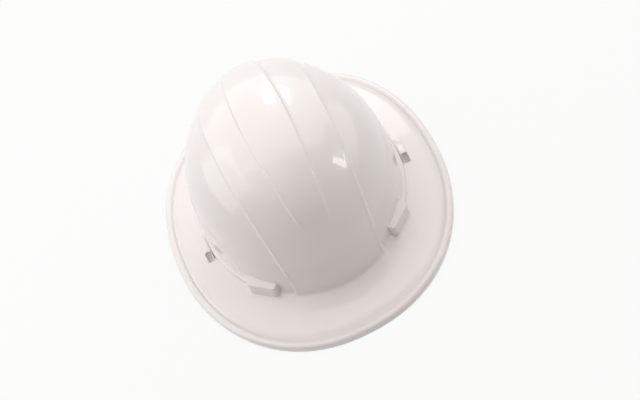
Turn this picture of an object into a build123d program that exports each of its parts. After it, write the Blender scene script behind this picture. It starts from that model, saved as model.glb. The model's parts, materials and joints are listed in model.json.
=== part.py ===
from build123d import *
from math import asin, atan2, copysign, cos, degrees, hypot, pi, radians, sin, tan
import os

# Full brim hard hat: a moulded shell with a brim all round, and the harness that carries it on the head.
# Frame: +Z up, +X to the wearer's left, the wearer faces -Y, and the origin is on the floor under the brim's middle.
# All lengths are millimetres.

# Overall sizes of the shell
BRIM_WIDTH = 280.0
BRIM_LENGTH = 315.0
BRIM_POWER = 2.18            # squareness of the brim's outline, 2 is an ellipse
SIDE_RISE = 5.6              # how far the brim's edge climbs at the two sides
DOME_WIDTH = 202.0
DOME_LENGTH = 229.0
DOME_BACK = 12.5             # the dome sits this far behind the brim's middle
CROWN_HEIGHT = 143.0         # floor to the top of the middle panel
WALL = 2.6
BRIM_WALL = 2.6
OVERRUN = 5.0                # how far every cutting body passes the face that it cuts
CLEAR = 0.3                  # gap between parts that slip past each other
FIT_GAP = 0.1                # gap round a part that sits tight

# Brim section, heights above the floor at the front and the rear
FLOOR_Z = 6.6                # the brim's top face inside its rim
CREST_Z = 7.8
RIM_WIDTH = 8.0
LIP_WALL = 2.4
LIP_TRIM = 0.25              # taken off flat where the lip stands on the floor
FLARE_HEIGHT = 8.4           # the soft corner between dome and brim
FLARE_OUT = 5.0
FLARE_SINK = 0.35            # the soft corner starts this far inside the dome's skin

# Dome section
DOME_BASE_Z = 6.5            # where the side wall starts to lean in
SIDE_POWER = 2.44
TOP_POWER = 2.6
CROWN_FLAT_R = 1.5           # the very top is flat this far out
STEP = 2.0                   # height of each raised panel over the next
OUTER_PANEL_MID = 53.5       # half width of the wide panel over the crown
OUTER_PANEL_END = 42.0
MIDDLE_PANEL_MID = 21.6      # half width of the middle panel over the crown
MIDDLE_PANEL_END = 9.5
FADE_SINK = 1.6              # the middle panel dips this far under the wide one near the brim
FADE_START_DEG = 22.0
FADE_END_DEG = 48.0

# The four pockets that take the harness lugs
LUG_X = 69.0                 # where a pocket meets the dome, from the middle plane
POCKET_LENGTH = 30.0
POCKET_OUT = 8.6
POCKET_TOP = 24.0
POCKET_FRONT_Z = 22.5
POCKET_LEAN = 2.0
POCKET_ROUND = 4.0
POCKET_EDGE_ROUND = 1.2
SLOT_LENGTH = 26.4
SLOT_START = 0.6
SLOT_DEPTH = 5.0
SLOT_TOP = 16.6

# The two accessory slots at the sides
SIDE_SLOT_FRONT = -21.0
SIDE_SLOT_LENGTH = 22.0
SIDE_SLOT_WIDTH = 5.0
SIDE_SLOT_X = 104.5
SIDE_SLOT_TOP = 14.0
SCOOP_SKIN = 2.2
SCOOP_TAIL = 12.0
SCOOP_ROUND = 2.0

# The ledge from each side slot to the front pocket
LEDGE_OUT = 5.0
LEDGE_LEAN = 1.0
LEDGE_FRONT_Z = 13.0
LEDGE_TOP_Z = 17.0
LEDGE_FRONT = -62.0

# Harness: headband
BAND_FRONT_GAP = 6.9         # between the headband and the dome's front wall
BAND_WALL = 1.6
BAND_FRONT_R = 70.0          # inside radius round the forehead
BAND_REAR_R = 80.4           # inside radius round the back of the head
BAND_REAR_Y = 30.0           # centre of the rear arc
BAND_LOW = 6.0
BAND_HIGH = 38.0
BAND_END_DEG = 40.0          # the headband stops this far each side of the rear
BAND_CORNER = 6.0
BROW_THICK = 3.6
BROW_SPREAD_DEG = 50.0
BROW_LAP = 5.0
BROW_SKIN = 1.2
BROW_CHAMFER = 1.2

# Harness: crown straps and their keys
STRAP_WIDTH = 20.0
STRAP_THICK = 1.0
STRAP_CROWN_Z = 106.0
STRAP_SPRING_Z = 26.0        # where the straps start to curve over
STRAP_CROSS_GAP = 0.8
STRAP_IN = 5.6               # from the dome's outside to the strap's middle
STRAP_END_Z = 10.5
STRAP_FOLD = 3.2
STRAP_FOLD_WIDE = 3.6
CROWN_PAD_R = 31.0
CROWN_PAD_THICK = 3.2
KEY_HALF = 12.2
KEY_PLATE = 3.0
KEY_PLATE_IN = 6.6           # from the dome's outside to the plate's outer face
KEY_BASE_Z = 1.2
KEY_BRIDGE = 2.4
KEY_WINDOW_TOP = 14.0
KEY_TOP = 24.0
PEG_Z = 19.0
PEG_R = 2.5
PEG_HEAD_R = 4.6
PEG_HEAD = 1.0
HANGER_THICK = 1.3
HANGER_HALF = 8.0
HANGER_RIB = 1.7
HANGER_REACH = 17.5          # ribs drawn long enough to pass into the headband's wall everywhere
HANGER_EDGE = 3.0            # plate left above and below the hanger's slot
HEIGHT_UP = 6.0              # headband travel on its pegs
HEIGHT_DOWN = 3.0

# Nape strap
NAPE_Z = 22.0                # height of the ratchet's axis and the side pivots
RACK_R = 76.0                # inside radius of the two racks
RACK_WALL = 1.3
RACK_GAP = 0.25
RACK_HALF = 12.0             # from the ratchet's axis to the racks' far edges
RACK_TIP = 15.5
RACK_WIDE_START = 39.5
RACK_FRONT_DEG = 72.0
ARM_WALL = 1.5
ARM_REAR_DEG = 44.0
ARM_CHANNEL_DEG = 84.0
ARM_FRONT_DEG = 97.0
ARM_TAB_HALF = 9.0
ARM_TAB_ROUND = 7.2
ARM_TAB_LAP_DEG = 1.0
ARM_LIP = 1.5
ARM_HOOK = 0.8
ARM_HOOK_REACH = 1.6
PIN_DEG = 90.0
PIN_R = 2.5
PIN_RUN = 0.06
PIN_HEAD_R = 4.5
PIN_HEAD = 1.2
WASHER_R = 5.0
WASHER_THICK = 1.0
WASHER_GAP = 0.05

# Ratchet
MODULE = 1.0
PINION_TEETH = 12
PRESSURE_DEG = 20.0
RACK_ADDENDUM = 0.7
PINION_ADDENDUM = 0.9
TOOTH_DEPTH = 1.0
BACKLASH = 0.24
RACK_TEETH_IN = 4            # teeth past the axis, towards the rack's tip
RACK_TEETH_OUT = 5
PINION_THICK = 1.5
FLANK_SHARES = [0.0, 0.2, 0.45, 0.7, 1.0]
PINION_LIFT = 0.2
HOUSING_PLATE = 1.7
HOUSING_HALF_WIDTH = 42.0
HOUSING_HALF_HEIGHT = 17.0
HOUSING_CORNER = 7.0
CAVITY_GAP = 0.4
COVER_THICK = 2.8
COVER_BOSS_R = 12.2
COVER_BOSS = 0.3
SCREW_R = 1.2
SCREW_HEAD_R = 2.2
SCREW_HEAD = 0.8
SCREW_DEPTH = 4.6
SCREW_S = 27.0
SCREW_Z = 14.6
NAPE_PAD_THICK = 2.3
NAPE_PAD_HALF_WIDTH = 33.0
NAPE_PAD_HALF_HEIGHT = 13.0
KNOB_R = 18.0
KNOB_THICK = 8.5
KNOB_GAP = 0.35
KNOB_GRIPS = 12
KNOB_GRIP_R = 3.4
KNOB_GRIP_BITE = 1.3
KNOB_ROUND = 1.0
KNOB_DISH_R = 9.0
KNOB_DISH = 1.4
KNOB_CAVE_R = 14.0
KNOB_CAVE = 2.4
HUB_R = 5.0
HEX_ACROSS = 5.0
KNOB_SCREW_R = 1.2
KNOB_SCREW_HEAD_R = 3.0
KNOB_SCREW_HEAD = 1.2
KNOB_SCREW_SLOT = 0.7
KNOB_SCREW_CROSS = 2.1
CLICK_TEETH = 24
CLICK_TOOTH = 0.9
CLICK_RING_R = 8.6
CLICK_RING_WALL = 1.2
CLICK_HIGH = 1.5
CLICK_ARM_R = 11.2
CLICK_ARM_WALL = 0.7
CLICK_ARM_DEG = 70.0
CLICK_NOSE_R = 0.8

HALF_W = BRIM_WIDTH / 2
HALF_L = BRIM_LENGTH / 2
DOME_RX = DOME_WIDTH / 2
DOME_RY = DOME_LENGTH / 2
STRETCH = DOME_RY / DOME_RX
DOME_FOOT_Z = FLOOR_Z - BRIM_WALL
BASE_RISE = CROWN_HEIGHT - DOME_BASE_Z - 2 * STEP
PROFILE_ARCS = 4
OUTLINE_ARCS = 8
FULL_TURN = 360.0
UPRIGHT_DEG = 90.0

# Places round the dome: a key sits on the ray from the dome's middle through its pocket
LUG_Y = DOME_RY * (1 - (LUG_X / DOME_RX) ** 2) ** 0.5
LUG_REACH = hypot(LUG_X, LUG_Y)
LUG_ANGLE = degrees(atan2(LUG_Y, LUG_X))
LUG_TURNS = {"front_left": -LUG_ANGLE, "front_right": LUG_ANGLE - 180.0,
             "rear_left": LUG_ANGLE, "rear_right": 180.0 - LUG_ANGLE}

# Headband outline: a small arc in front, a large one behind, and the two straight lines that touch both
BAND_FRONT_Y = DOME_BACK - DOME_RY + WALL + BAND_FRONT_GAP + BAND_WALL + BAND_FRONT_R
BAND_LEAN = asin((BAND_REAR_R - BAND_FRONT_R) / (BAND_REAR_Y - BAND_FRONT_Y))

# Ratchet radii, measured from the rear arc's upright axis
RACK_OUT = RACK_R + RACK_WALL
CAVITY_IN = RACK_R - CLEAR
CAVITY_OUT = RACK_OUT + CLEAR
HOUSING_IN = CAVITY_IN - HOUSING_PLATE
COVER_OUT = CAVITY_OUT + COVER_THICK
BOSS_OUT = COVER_OUT + COVER_BOSS
KNOB_IN = BOSS_OUT + KNOB_GAP
KNOB_OUT = KNOB_IN + KNOB_THICK
PINION_IN = CAVITY_IN + PINION_LIFT
PINION_OUT = PINION_IN + PINION_THICK
PITCH_R = MODULE * PINION_TEETH / 2
PITCH = pi * MODULE
RACK_MID = RACK_R + RACK_WALL / 2
ARM_IN = RACK_OUT + RACK_GAP
ARM_OUT = ARM_IN + ARM_WALL


def block(x0, x1, y0, y1, z0, z1):
    """An upright box from its six faces."""
    return Pos(x0, y0, z0) * Box(x1 - x0, y1 - y0, z1 - z0, align=(Align.MIN, Align.MIN, Align.MIN))


def rod(radius, z0, z1):
    """A cylinder on the local Z axis."""
    return Pos(0, 0, z0) * Cylinder(radius, z1 - z0, align=(Align.CENTER, Align.CENTER, Align.MIN))


def smooth(value):
    """Eases 0 to 1 with level ends."""
    value = min(1.0, max(0.0, value))
    return value * value * (3 - 2 * value)


# The dome, drawn round and stretched along Y with the rest of the shell at the end

def profile_point(grow, turn_deg, fade):
    """One point of the dome's side view, grown outwards by grow and by the panel's own fade."""
    turn = radians(turn_deg)
    extra = grow + (fade(turn_deg) if fade else 0.0)
    across = (DOME_RX + extra) * max(cos(turn), 0.0) ** (2 / SIDE_POWER)
    up = (BASE_RISE + extra) * sin(turn) ** (2 / TOP_POWER)
    return (across, 0.0, DOME_BASE_Z + up)


def dome_solid(grow, foot_z, fade=None):
    """The body under one dome surface, turned from arcs."""
    step = UPRIGHT_DEG / PROFILE_ARCS / 2
    points = [profile_point(grow, k * step, fade) for k in range(2 * PROFILE_ARCS)]
    top_z = profile_point(grow, UPRIGHT_DEG, fade)[2]
    points.append((CROWN_FLAT_R, 0, top_z))
    arcs = [ThreePointArc(points[2 * k], points[2 * k + 1], points[2 * k + 2]) for k in range(PROFILE_ARCS)]
    rim = Polyline(points[-1], (0, 0, top_z), (0, 0, foot_z), (points[0][0], 0, foot_z), points[0])
    return revolve(make_face([arc.edge() for arc in arcs] + list(rim.edges())), Axis.Z, FULL_TURN)


def panel_prism(mid, end, shrink):
    """Upright prism with bowed sides: one raised panel seen from above."""
    reach = DOME_RX + OVERRUN
    mid, end = mid - shrink, end - shrink
    left = ThreePointArc((end, -reach), (mid, 0), (end, reach))
    right = ThreePointArc((-end, reach), (-mid, 0), (-end, -reach))
    ends = Line((end, reach), (-end, reach)), Line((-end, -reach), (end, -reach))
    face = make_face([left.edge(), ends[0].edge(), right.edge(), ends[1].edge()])
    return extrude(face, CROWN_HEIGHT + OVERRUN)


def middle_fade(turn_deg):
    """The middle panel's extra growth: under the wide panel near the brim, a full step above it at the crown."""
    share = smooth((turn_deg - FADE_START_DEG) / (FADE_END_DEG - FADE_START_DEG))
    return -FADE_SINK + share * (STEP + FADE_SINK)


def dome_body(inset, foot_z):
    """The dome with both raised panels, its surface drawn in everywhere by the same amount."""
    wide = dome_solid(STEP - inset, foot_z) & panel_prism(OUTER_PANEL_MID, OUTER_PANEL_END, inset)
    middle = dome_solid(STEP - inset, foot_z, middle_fade)
    middle = middle & panel_prism(MIDDLE_PANEL_MID, MIDDLE_PANEL_END, inset)
    return dome_solid(-inset, foot_z) + wide + middle


# The brim

def outline_prism(inset):
    """Upright prism on the brim's outline, drawn in by inset all round, in the round drawing."""
    half_w, half_l = HALF_W - inset, HALF_L - inset
    points = []
    for k in range(2 * OUTLINE_ARCS):
        turn = 2 * pi * (k - 1) / (2 * OUTLINE_ARCS)
        across, along = cos(turn), sin(turn)
        y = half_l * copysign(abs(along) ** (2 / BRIM_POWER), along)
        points.append((half_w * copysign(abs(across) ** (2 / BRIM_POWER), across), (y - DOME_BACK) / STRETCH))
    points.append(points[0])
    arcs = [ThreePointArc(points[2 * k], points[2 * k + 1], points[2 * k + 2]) for k in range(OUTLINE_ARCS)]
    return Pos(0, 0, -OVERRUN) * extrude(make_face([arc.edge() for arc in arcs]), CROWN_HEIGHT)


def trough(low, high):
    """A long sheet between two heights that curves up towards both sides, as the whole brim does."""
    edge, rise = HALF_W + OVERRUN, SIDE_RISE * (1 + OVERRUN / HALF_W) ** 2
    under = ThreePointArc((-edge, low + rise), (0, low), (edge, low + rise))
    over = ThreePointArc((edge, high + rise), (0, high), (-edge, high + rise))
    right, left = Line(under @ 1, over @ 0), Line(over @ 1, under @ 0)
    face = make_face([under.edge(), right.edge(), over.edge(), left.edge()])
    return extrude(Plane.XZ * face, HALF_L + DOME_BACK, both=True)


def brim_body():
    """The brim's floor, its raised rim, and the lip that turns down all round."""
    body = outline_prism(0) & trough(-LIP_TRIM, CREST_Z)
    body = body - (outline_prism(RIM_WIDTH) & trough(FLOOR_Z, CREST_Z + OVERRUN))
    return body - (outline_prism(LIP_WALL) & trough(-OVERRUN, FLOOR_Z - BRIM_WALL))


def above_brim():
    """Everything over the middle of the brim's wall, to end the flare and the ledge inside it."""
    return trough(FLOOR_Z - BRIM_WALL / 2, CROWN_HEIGHT)


def flare():
    """The soft corner where the dome runs out into the brim."""
    top, foot, start = FLOOR_Z + FLARE_HEIGHT, FLOOR_Z - FIT_GAP, DOME_RX - FLARE_SINK
    end = start + FLARE_OUT
    curve = TangentArc((end, 0, foot), (start, 0, top), tangent=(-1, 0, 0))
    rest = Polyline(curve @ 1, (DOME_RX - WALL / 2, 0, top), (DOME_RX - WALL / 2, 0, DOME_FOOT_Z),
                    (end, 0, DOME_FOOT_Z), curve @ 0)
    return revolve(make_face([curve.edge(), *rest.edges()]), Axis.Z, FULL_TURN) & above_brim()


def ledge():
    """A low shelf round the dome's foot, from each side slot to the front pocket."""
    outline = Polyline((DOME_RX - WALL / 2, 0, DOME_FOOT_Z), (DOME_RX + LEDGE_OUT, 0, DOME_FOOT_Z),
                       (DOME_RX + LEDGE_OUT - LEDGE_LEAN, 0, LEDGE_FRONT_Z),
                       (DOME_RX - WALL / 4, 0, LEDGE_TOP_Z), (DOME_RX - WALL / 2, 0, LEDGE_TOP_Z), close=True)
    ring = revolve(make_face(outline.edges()), Axis.Z, FULL_TURN) & above_brim()
    front, rear = (LEDGE_FRONT - DOME_BACK) / STRETCH, (SIDE_SLOT_FRONT + SCOOP_SKIN - DOME_BACK) / STRETCH
    return ring & block(-BRIM_WIDTH, BRIM_WIDTH, front, rear, -OVERRUN, CROWN_HEIGHT)


# The pockets and slots, drawn at their true size

def at_lug(name):
    """Local frame of one pocket: X outwards from the dome's outside, Y along the wall, Z up from the floor."""
    return Pos(0, DOME_BACK, 0) * Rot(0, 0, LUG_TURNS[name]) * Pos(LUG_REACH, 0, 0)


def pocket_bulge():
    """The raised block round one pocket, with a flat sloping top."""
    outline = Polyline((-WALL / 2, 0, DOME_FOOT_Z), (POCKET_OUT, 0, DOME_FOOT_Z),
                       (POCKET_OUT - POCKET_LEAN, 0, POCKET_FRONT_Z), (-WALL / 2, 0, POCKET_TOP), close=True)
    body = extrude(make_face(outline.edges()), POCKET_LENGTH / 2, dir=(0, 1, 0), both=True)
    upright = [e for e in body.edges() if min((e @ 0).X, (e @ 1).X) > POCKET_OUT / 2
               and abs((e @ 0).Y - (e @ 1).Y) < FIT_GAP]
    body = fillet(upright, POCKET_ROUND)
    rim = [e for e in body.edges() if min((e @ 0).Z, (e @ 1).Z) > POCKET_FRONT_Z - POCKET_EDGE_ROUND / 2
           and min((e @ 0).X, (e @ 1).X) > 0 and (e @ 0.5).X > POCKET_OUT / 2]
    return fillet(rim, POCKET_EDGE_ROUND)


def pocket_cavity():
    return block(SLOT_START, SLOT_START + SLOT_DEPTH, -SLOT_LENGTH / 2, SLOT_LENGTH / 2, -OVERRUN, SLOT_TOP)


def side_scoop():
    """The raised cover over a side slot, level at the front and running out to nothing at the rear."""
    front, rear = SIDE_SLOT_FRONT, SIDE_SLOT_FRONT + SIDE_SLOT_LENGTH + SCOOP_TAIL
    top, outer = SIDE_SLOT_TOP + SCOOP_SKIN, SIDE_SLOT_X + SIDE_SLOT_WIDTH + SCOOP_SKIN
    outline = Polyline((DOME_RX - WALL, front, DOME_FOOT_Z), (DOME_RX - WALL, front, top),
                       (DOME_RX - WALL, front + SIDE_SLOT_LENGTH, top), (DOME_RX - WALL, rear, FLOOR_Z),
                       (DOME_RX - WALL, rear, DOME_FOOT_Z), close=True)
    body = extrude(make_face(outline.edges()), outer - DOME_RX + WALL, dir=(1, 0, 0))
    rim = [e for e in body.edges() if min((e @ 0).Z, (e @ 1).Z) > FLOOR_Z - FIT_GAP
           and min((e @ 0).X, (e @ 1).X) > outer - FIT_GAP]
    return fillet(rim, SCOOP_ROUND)


def side_slot():
    """The slot itself: open below, and open forwards in the scoop's front face."""
    x0, x1 = SIDE_SLOT_X, SIDE_SLOT_X + SIDE_SLOT_WIDTH
    front, rear = SIDE_SLOT_FRONT, SIDE_SLOT_FRONT + SIDE_SLOT_LENGTH
    body = block(x0, x1, front + SCOOP_SKIN, rear, -OVERRUN, SIDE_SLOT_TOP)
    mouth_z = FLOOR_Z + SIDE_RISE * (x1 / HALF_W) ** 2 + FIT_GAP
    return body + block(x0, x1, front - OVERRUN, front + SCOOP_SKIN * 2, mouth_z, SIDE_SLOT_TOP)


def shell():
    body = dome_body(0.0, DOME_FOOT_Z) + brim_body() + flare() + ledge()
    body = body - dome_body(WALL, -OVERRUN)
    body = Pos(0, DOME_BACK, 0) * scale(body, by=(1.0, STRETCH, 1.0))
    for name in LUG_TURNS:
        body = body + at_lug(name) * pocket_bulge() - at_lug(name) * pocket_cavity()
    for part, hole in ((side_scoop(), side_slot()), (mirror(side_scoop(), Plane.YZ), mirror(side_slot(), Plane.YZ))):
        body = body + part - hole
    return body - block(-BRIM_WIDTH, BRIM_WIDTH, -BRIM_LENGTH, BRIM_LENGTH, -OVERRUN, 0)


# Keys, straps and crown pad

def strap_key():
    """Tongue in the shell's pocket, bridge under the dome's edge, and a plate with a strap window and a peg."""
    tongue_out = SLOT_START + SLOT_DEPTH - CLEAR
    tongue_half = SLOT_LENGTH / 2 - CLEAR
    plate_out, plate_in = -KEY_PLATE_IN, -KEY_PLATE_IN - KEY_PLATE
    body = block(SLOT_START + CLEAR, tongue_out, -tongue_half, tongue_half, KEY_BASE_Z, SLOT_TOP - CLEAR)
    body = body + block(plate_in, tongue_out, -KEY_HALF, KEY_HALF, KEY_BASE_Z, KEY_BASE_Z + KEY_BRIDGE)
    plate = block(plate_in, plate_out, -KEY_HALF, KEY_HALF, KEY_BASE_Z, KEY_TOP)
    corners = [e for e in plate.edges() if (e @ 0).Z > KEY_TOP - CLEAR and (e @ 1).Z > KEY_TOP - CLEAR
               and abs((e @ 0).X - (e @ 1).X) > KEY_PLATE / 2]
    body = body + fillet(corners, HANGER_EDGE)
    half = STRAP_WIDTH / 2 + 2 * CLEAR
    body = body - block(plate_in - OVERRUN, plate_out + OVERRUN / 2, -half, half, KEY_BASE_Z + KEY_BRIDGE,
                        KEY_WINDOW_TOP)
    peg_end = plate_in - HANGER_THICK - 2 * CLEAR
    peg = rod(PEG_R, peg_end, plate_in + CLEAR) + rod(PEG_HEAD_R, peg_end - PEG_HEAD, peg_end)
    return body + Pos(0, 0, PEG_Z) * Rot(0, UPRIGHT_DEG, 0) * peg


def strap_line(offset, lift):
    """Half axes of the strap's curve, offset outwards from its middle line."""
    return LUG_REACH - STRAP_IN + offset, STRAP_CROWN_Z + lift - STRAP_SPRING_Z + offset


def strap_arch(half_width, rise):
    """Arcs over the head on a half ellipse, from one side to the other."""
    points = []
    for k in range(2 * PROFILE_ARCS + 1):
        turn = pi * k / (2 * PROFILE_ARCS)
        points.append((half_width * cos(turn), STRAP_SPRING_Z + rise * sin(turn)))
    arcs = [ThreePointArc(points[2 * k], points[2 * k + 1], points[2 * k + 2]) for k in range(PROFILE_ARCS)]
    return [arc.edge() for arc in arcs]


def crown_strap(turn, lift):
    """One webbing strap from key to key, with a folded and stitched end in each key's window."""
    half = STRAP_THICK / 2
    out_x, out_z = strap_line(half, lift)
    in_x, in_z = strap_line(-half, lift)
    outer = strap_arch(out_x, out_z)
    inner = strap_arch(in_x, in_z)
    fold_x, fold_z = in_x - STRAP_FOLD_WIDE, STRAP_END_Z + STRAP_FOLD
    left = Polyline((in_x, STRAP_SPRING_Z), (in_x, fold_z), (fold_x, fold_z), (fold_x, STRAP_END_Z),
                    (out_x, STRAP_END_Z), (out_x, STRAP_SPRING_Z))
    right = mirror(left, Plane.YZ)
    face = make_face([*outer, *inner, *left.edges(), *right.edges()])
    return Pos(0, DOME_BACK, 0) * Rot(0, 0, turn) * extrude(Plane.XZ * face, STRAP_WIDTH / 2, both=True)


def crown_pad():
    """A soft round pad under the crossing of the straps, curved as they are there."""
    reach, rise = strap_line(-STRAP_THICK / 2, 0)
    curve = reach ** 2 / rise
    top = STRAP_SPRING_Z + rise - CLEAR
    cap = Sphere(curve) - Sphere(curve - CROWN_PAD_THICK)
    body = Pos(0, 0, top - curve) * cap & rod(CROWN_PAD_R, STRAP_SPRING_Z, STRAP_CROWN_Z)
    rims = [e for e in body.edges() if e.length > CROWN_PAD_R]
    return Pos(0, DOME_BACK, 0) * fillet(rims, CROWN_PAD_THICK / 3)


# Headband

def egg_prism(grow, z0, z1):
    """Upright prism on the headband's inside line, grown outwards."""
    front_r, rear_r = BAND_FRONT_R + grow, BAND_REAR_R + grow
    front = (front_r * cos(BAND_LEAN), BAND_FRONT_Y - front_r * sin(BAND_LEAN))
    rear = (rear_r * cos(BAND_LEAN), BAND_REAR_Y - rear_r * sin(BAND_LEAN))
    brow = ThreePointArc((-front[0], front[1]), (0, BAND_FRONT_Y - front_r), front)
    back = ThreePointArc(rear, (0, BAND_REAR_Y + rear_r), (-rear[0], rear[1]))
    sides = Line(front, rear), Line((-rear[0], rear[1]), (-front[0], front[1]))
    face = make_face([brow.edge(), sides[0].edge(), back.edge(), sides[1].edge()])
    return Pos(0, 0, z0) * extrude(face, z1 - z0)


def arc_band(r0, r1, a0, a1, z0, z1):
    """A curved wall about the rear arc's upright axis, between two angles from the rear, towards the left side."""
    def place(radius, angle):
        return (radius * sin(radians(angle)), BAND_REAR_Y + radius * cos(radians(angle)))

    mid = (a0 + a1) / 2
    outer = ThreePointArc(place(r1, a0), place(r1, mid), place(r1, a1))
    inner = ThreePointArc(place(r0, a1), place(r0, mid), place(r0, a0))
    ends = Line(outer @ 1, inner @ 0), Line(inner @ 1, outer @ 0)
    face = make_face([outer.edge(), ends[0].edge(), inner.edge(), ends[1].edge()])
    return Pos(0, 0, z0) * extrude(face, z1 - z0)


def radial(angle, z):
    """Local frame on the rear arc's axis whose Z points outwards at an angle from the rear."""
    return Pos(0, BAND_REAR_Y, z) * Rot(0, 0, -angle) * Rot(-UPRIGHT_DEG, 0, 0)


def hanger():
    """One of the headband's four brackets, with the slot that rides on a key's peg."""
    face_out = -KEY_PLATE_IN - KEY_PLATE - CLEAR
    face_in = face_out - HANGER_THICK
    slot_half = PEG_R + CLEAR / 2
    slot_low, slot_high = PEG_Z - HEIGHT_UP, PEG_Z + HEIGHT_DOWN
    low, high = slot_low - slot_half - HANGER_EDGE, slot_high + slot_half + HANGER_EDGE
    plate = block(face_in, face_out, -HANGER_HALF, HANGER_HALF, low, high)
    slot = block(face_in - CLEAR, face_out + CLEAR, -slot_half, slot_half, slot_low, slot_high)
    across = Rot(0, UPRIGHT_DEG, 0)
    for z in (slot_low, slot_high):
        slot = slot + Pos(0, 0, z) * across * rod(slot_half, face_in - CLEAR, face_out + CLEAR)
    ribs = plate - slot
    for side in (-1, 1):
        edge = side * (HANGER_HALF - HANGER_RIB / 2)
        ribs = ribs + block(face_in - HANGER_REACH, face_in + CLEAR, edge - HANGER_RIB / 2,
                            edge + HANGER_RIB / 2, low + HANGER_EDGE, high - HANGER_EDGE)
    return ribs


def headband():
    band = egg_prism(BAND_WALL, BAND_LOW, BAND_HIGH) - egg_prism(0, BAND_LOW - OVERRUN, BAND_HIGH + OVERRUN)
    band = band - arc_band(BAND_REAR_R - OVERRUN, BAND_REAR_R + OVERRUN, -BAND_END_DEG, BAND_END_DEG,
                           BAND_LOW - OVERRUN, BAND_HIGH + OVERRUN)
    ends = [e for e in band.edges() if (e @ 0.5).Y > BAND_REAR_Y and abs(e.length - BAND_WALL) < FIT_GAP
            and abs((e @ 0).Z - (e @ 1).Z) < FIT_GAP]
    band = fillet(ends, BAND_CORNER)
    inside = egg_prism(BAND_WALL / 2, BAND_LOW - OVERRUN, BAND_HIGH + OVERRUN)
    for name in LUG_TURNS:
        band = band + (at_lug(name) * hanger() - inside)
    for side in (-1, 1):
        band = band - radial(side * PIN_DEG, NAPE_Z) * rod(PIN_R + FIT_GAP / 2, BAND_REAR_R - OVERRUN,
                                                           BAND_REAR_R + OVERRUN)
    return band


def brow_pad():
    """Sweatband that lines the front of the headband and laps over both its edges."""
    inner, skin = BAND_FRONT_R - BROW_THICK, BAND_FRONT_R + BAND_WALL + FIT_GAP + BROW_SKIN
    wall_in, wall_out = BAND_FRONT_R - FIT_GAP, BAND_FRONT_R + BAND_WALL + FIT_GAP
    low, high = BAND_LOW - FIT_GAP, BAND_HIGH + FIT_GAP
    base, top = low - BROW_SKIN, high + BROW_SKIN
    outline = Polyline((inner, 0, base + BROW_CHAMFER), (inner + BROW_CHAMFER, 0, base), (skin, 0, base),
                       (skin, 0, low + BROW_LAP), (wall_out, 0, low + BROW_LAP), (wall_out, 0, low),
                       (wall_in, 0, low), (wall_in, 0, high), (wall_out, 0, high), (wall_out, 0, high - BROW_LAP),
                       (skin, 0, high - BROW_LAP), (skin, 0, top), (inner + BROW_CHAMFER, 0, top),
                       (inner, 0, top - BROW_CHAMFER), close=True)
    turned = revolve(make_face(outline.edges()), Axis.Z, 2 * BROW_SPREAD_DEG)
    return Pos(0, BAND_FRONT_Y, 0) * Rot(0, 0, -UPRIGHT_DEG - BROW_SPREAD_DEG) * turned


# Side pivots

def side_pin(side):
    """Rivet that the nape strap swings on."""
    inner = ARM_IN - CLEAR
    outer = BAND_REAR_R + BAND_WALL + FIT_GAP
    body = rod(PIN_HEAD_R, inner - PIN_HEAD, inner) + rod(PIN_R, inner - PIN_HEAD / 2, outer + PIN_HEAD / 2)
    return radial(side * PIN_DEG, NAPE_Z) * (body + rod(PIN_HEAD_R - PIN_HEAD / 2, outer, outer + PIN_HEAD))


def side_washer(side):
    start = ARM_OUT + WASHER_GAP
    return radial(side * PIN_DEG, NAPE_Z) * (rod(WASHER_R, start, start + WASHER_THICK)
                                             - rod(PIN_R + PIN_RUN, start - CLEAR, start + OVERRUN))


# Nape strap

def arm(side):
    """Keeper channel that carries the front of one rack and swings on the side pin."""
    def wall(r0, r1, a0, a1, z0, z1):
        a0, a1 = sorted((side * a0, side * a1))
        return arc_band(r0, r1, a0, a1, NAPE_Z + z0, NAPE_Z + z1)

    edge = RACK_HALF + CLEAR
    hook_out = RACK_R - RACK_GAP
    hook_in = hook_out - ARM_HOOK
    body = wall(ARM_IN, ARM_OUT, ARM_REAR_DEG, ARM_CHANNEL_DEG, -edge - ARM_LIP, edge + ARM_LIP)
    for up in (-1, 1):
        z0, z1 = sorted((up * edge, up * (edge + ARM_LIP)))
        body = body + wall(hook_in, ARM_IN + CLEAR, ARM_REAR_DEG, ARM_CHANNEL_DEG, z0, z1)
        z0, z1 = sorted((up * (edge - ARM_HOOK_REACH), up * (edge + ARM_LIP / 2)))
        body = body + wall(hook_in, hook_out, ARM_REAR_DEG, ARM_CHANNEL_DEG, z0, z1)
    tab_rear = ARM_CHANNEL_DEG - ARM_TAB_LAP_DEG
    tab = wall(ARM_IN, ARM_OUT, tab_rear, ARM_FRONT_DEG, -ARM_TAB_HALF, ARM_TAB_HALF)
    front = [e for e in tab.edges() if abs(e.length - ARM_WALL) < FIT_GAP and (e @ 0.5).Y < BAND_REAR_Y
             and abs((e @ 0).Z - (e @ 1).Z) < FIT_GAP]
    body = body + fillet(front, ARM_TAB_ROUND)
    return body - radial(side * PIN_DEG, NAPE_Z) * rod(PIN_R + PIN_RUN, ARM_IN - OVERRUN, ARM_OUT + OVERRUN)


def along(length):
    """Angle about the rear axis of a length along the racks."""
    return degrees(length / RACK_MID)


def rack_tooth():
    """One tooth pointing at the axis, at the rack's middle, drawn about the rear axis."""
    half = (PITCH - BACKLASH) / 4
    slope = tan(radians(PRESSURE_DEG))
    tip_z, root_z = PITCH_R - RACK_ADDENDUM, PITCH_R + TOOTH_DEPTH + FIT_GAP
    tip_half, root_half = half - RACK_ADDENDUM * slope, half + (root_z - PITCH_R) * slope
    outline = Polyline((-tip_half, 0, tip_z), (tip_half, 0, tip_z), (root_half, 0, root_z), (-root_half, 0, root_z),
                       close=True)
    tooth = extrude(make_face(outline.edges()), RACK_WALL, dir=(0, 1, 0))
    return Pos(0, RACK_R, 0) * tooth


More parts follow.
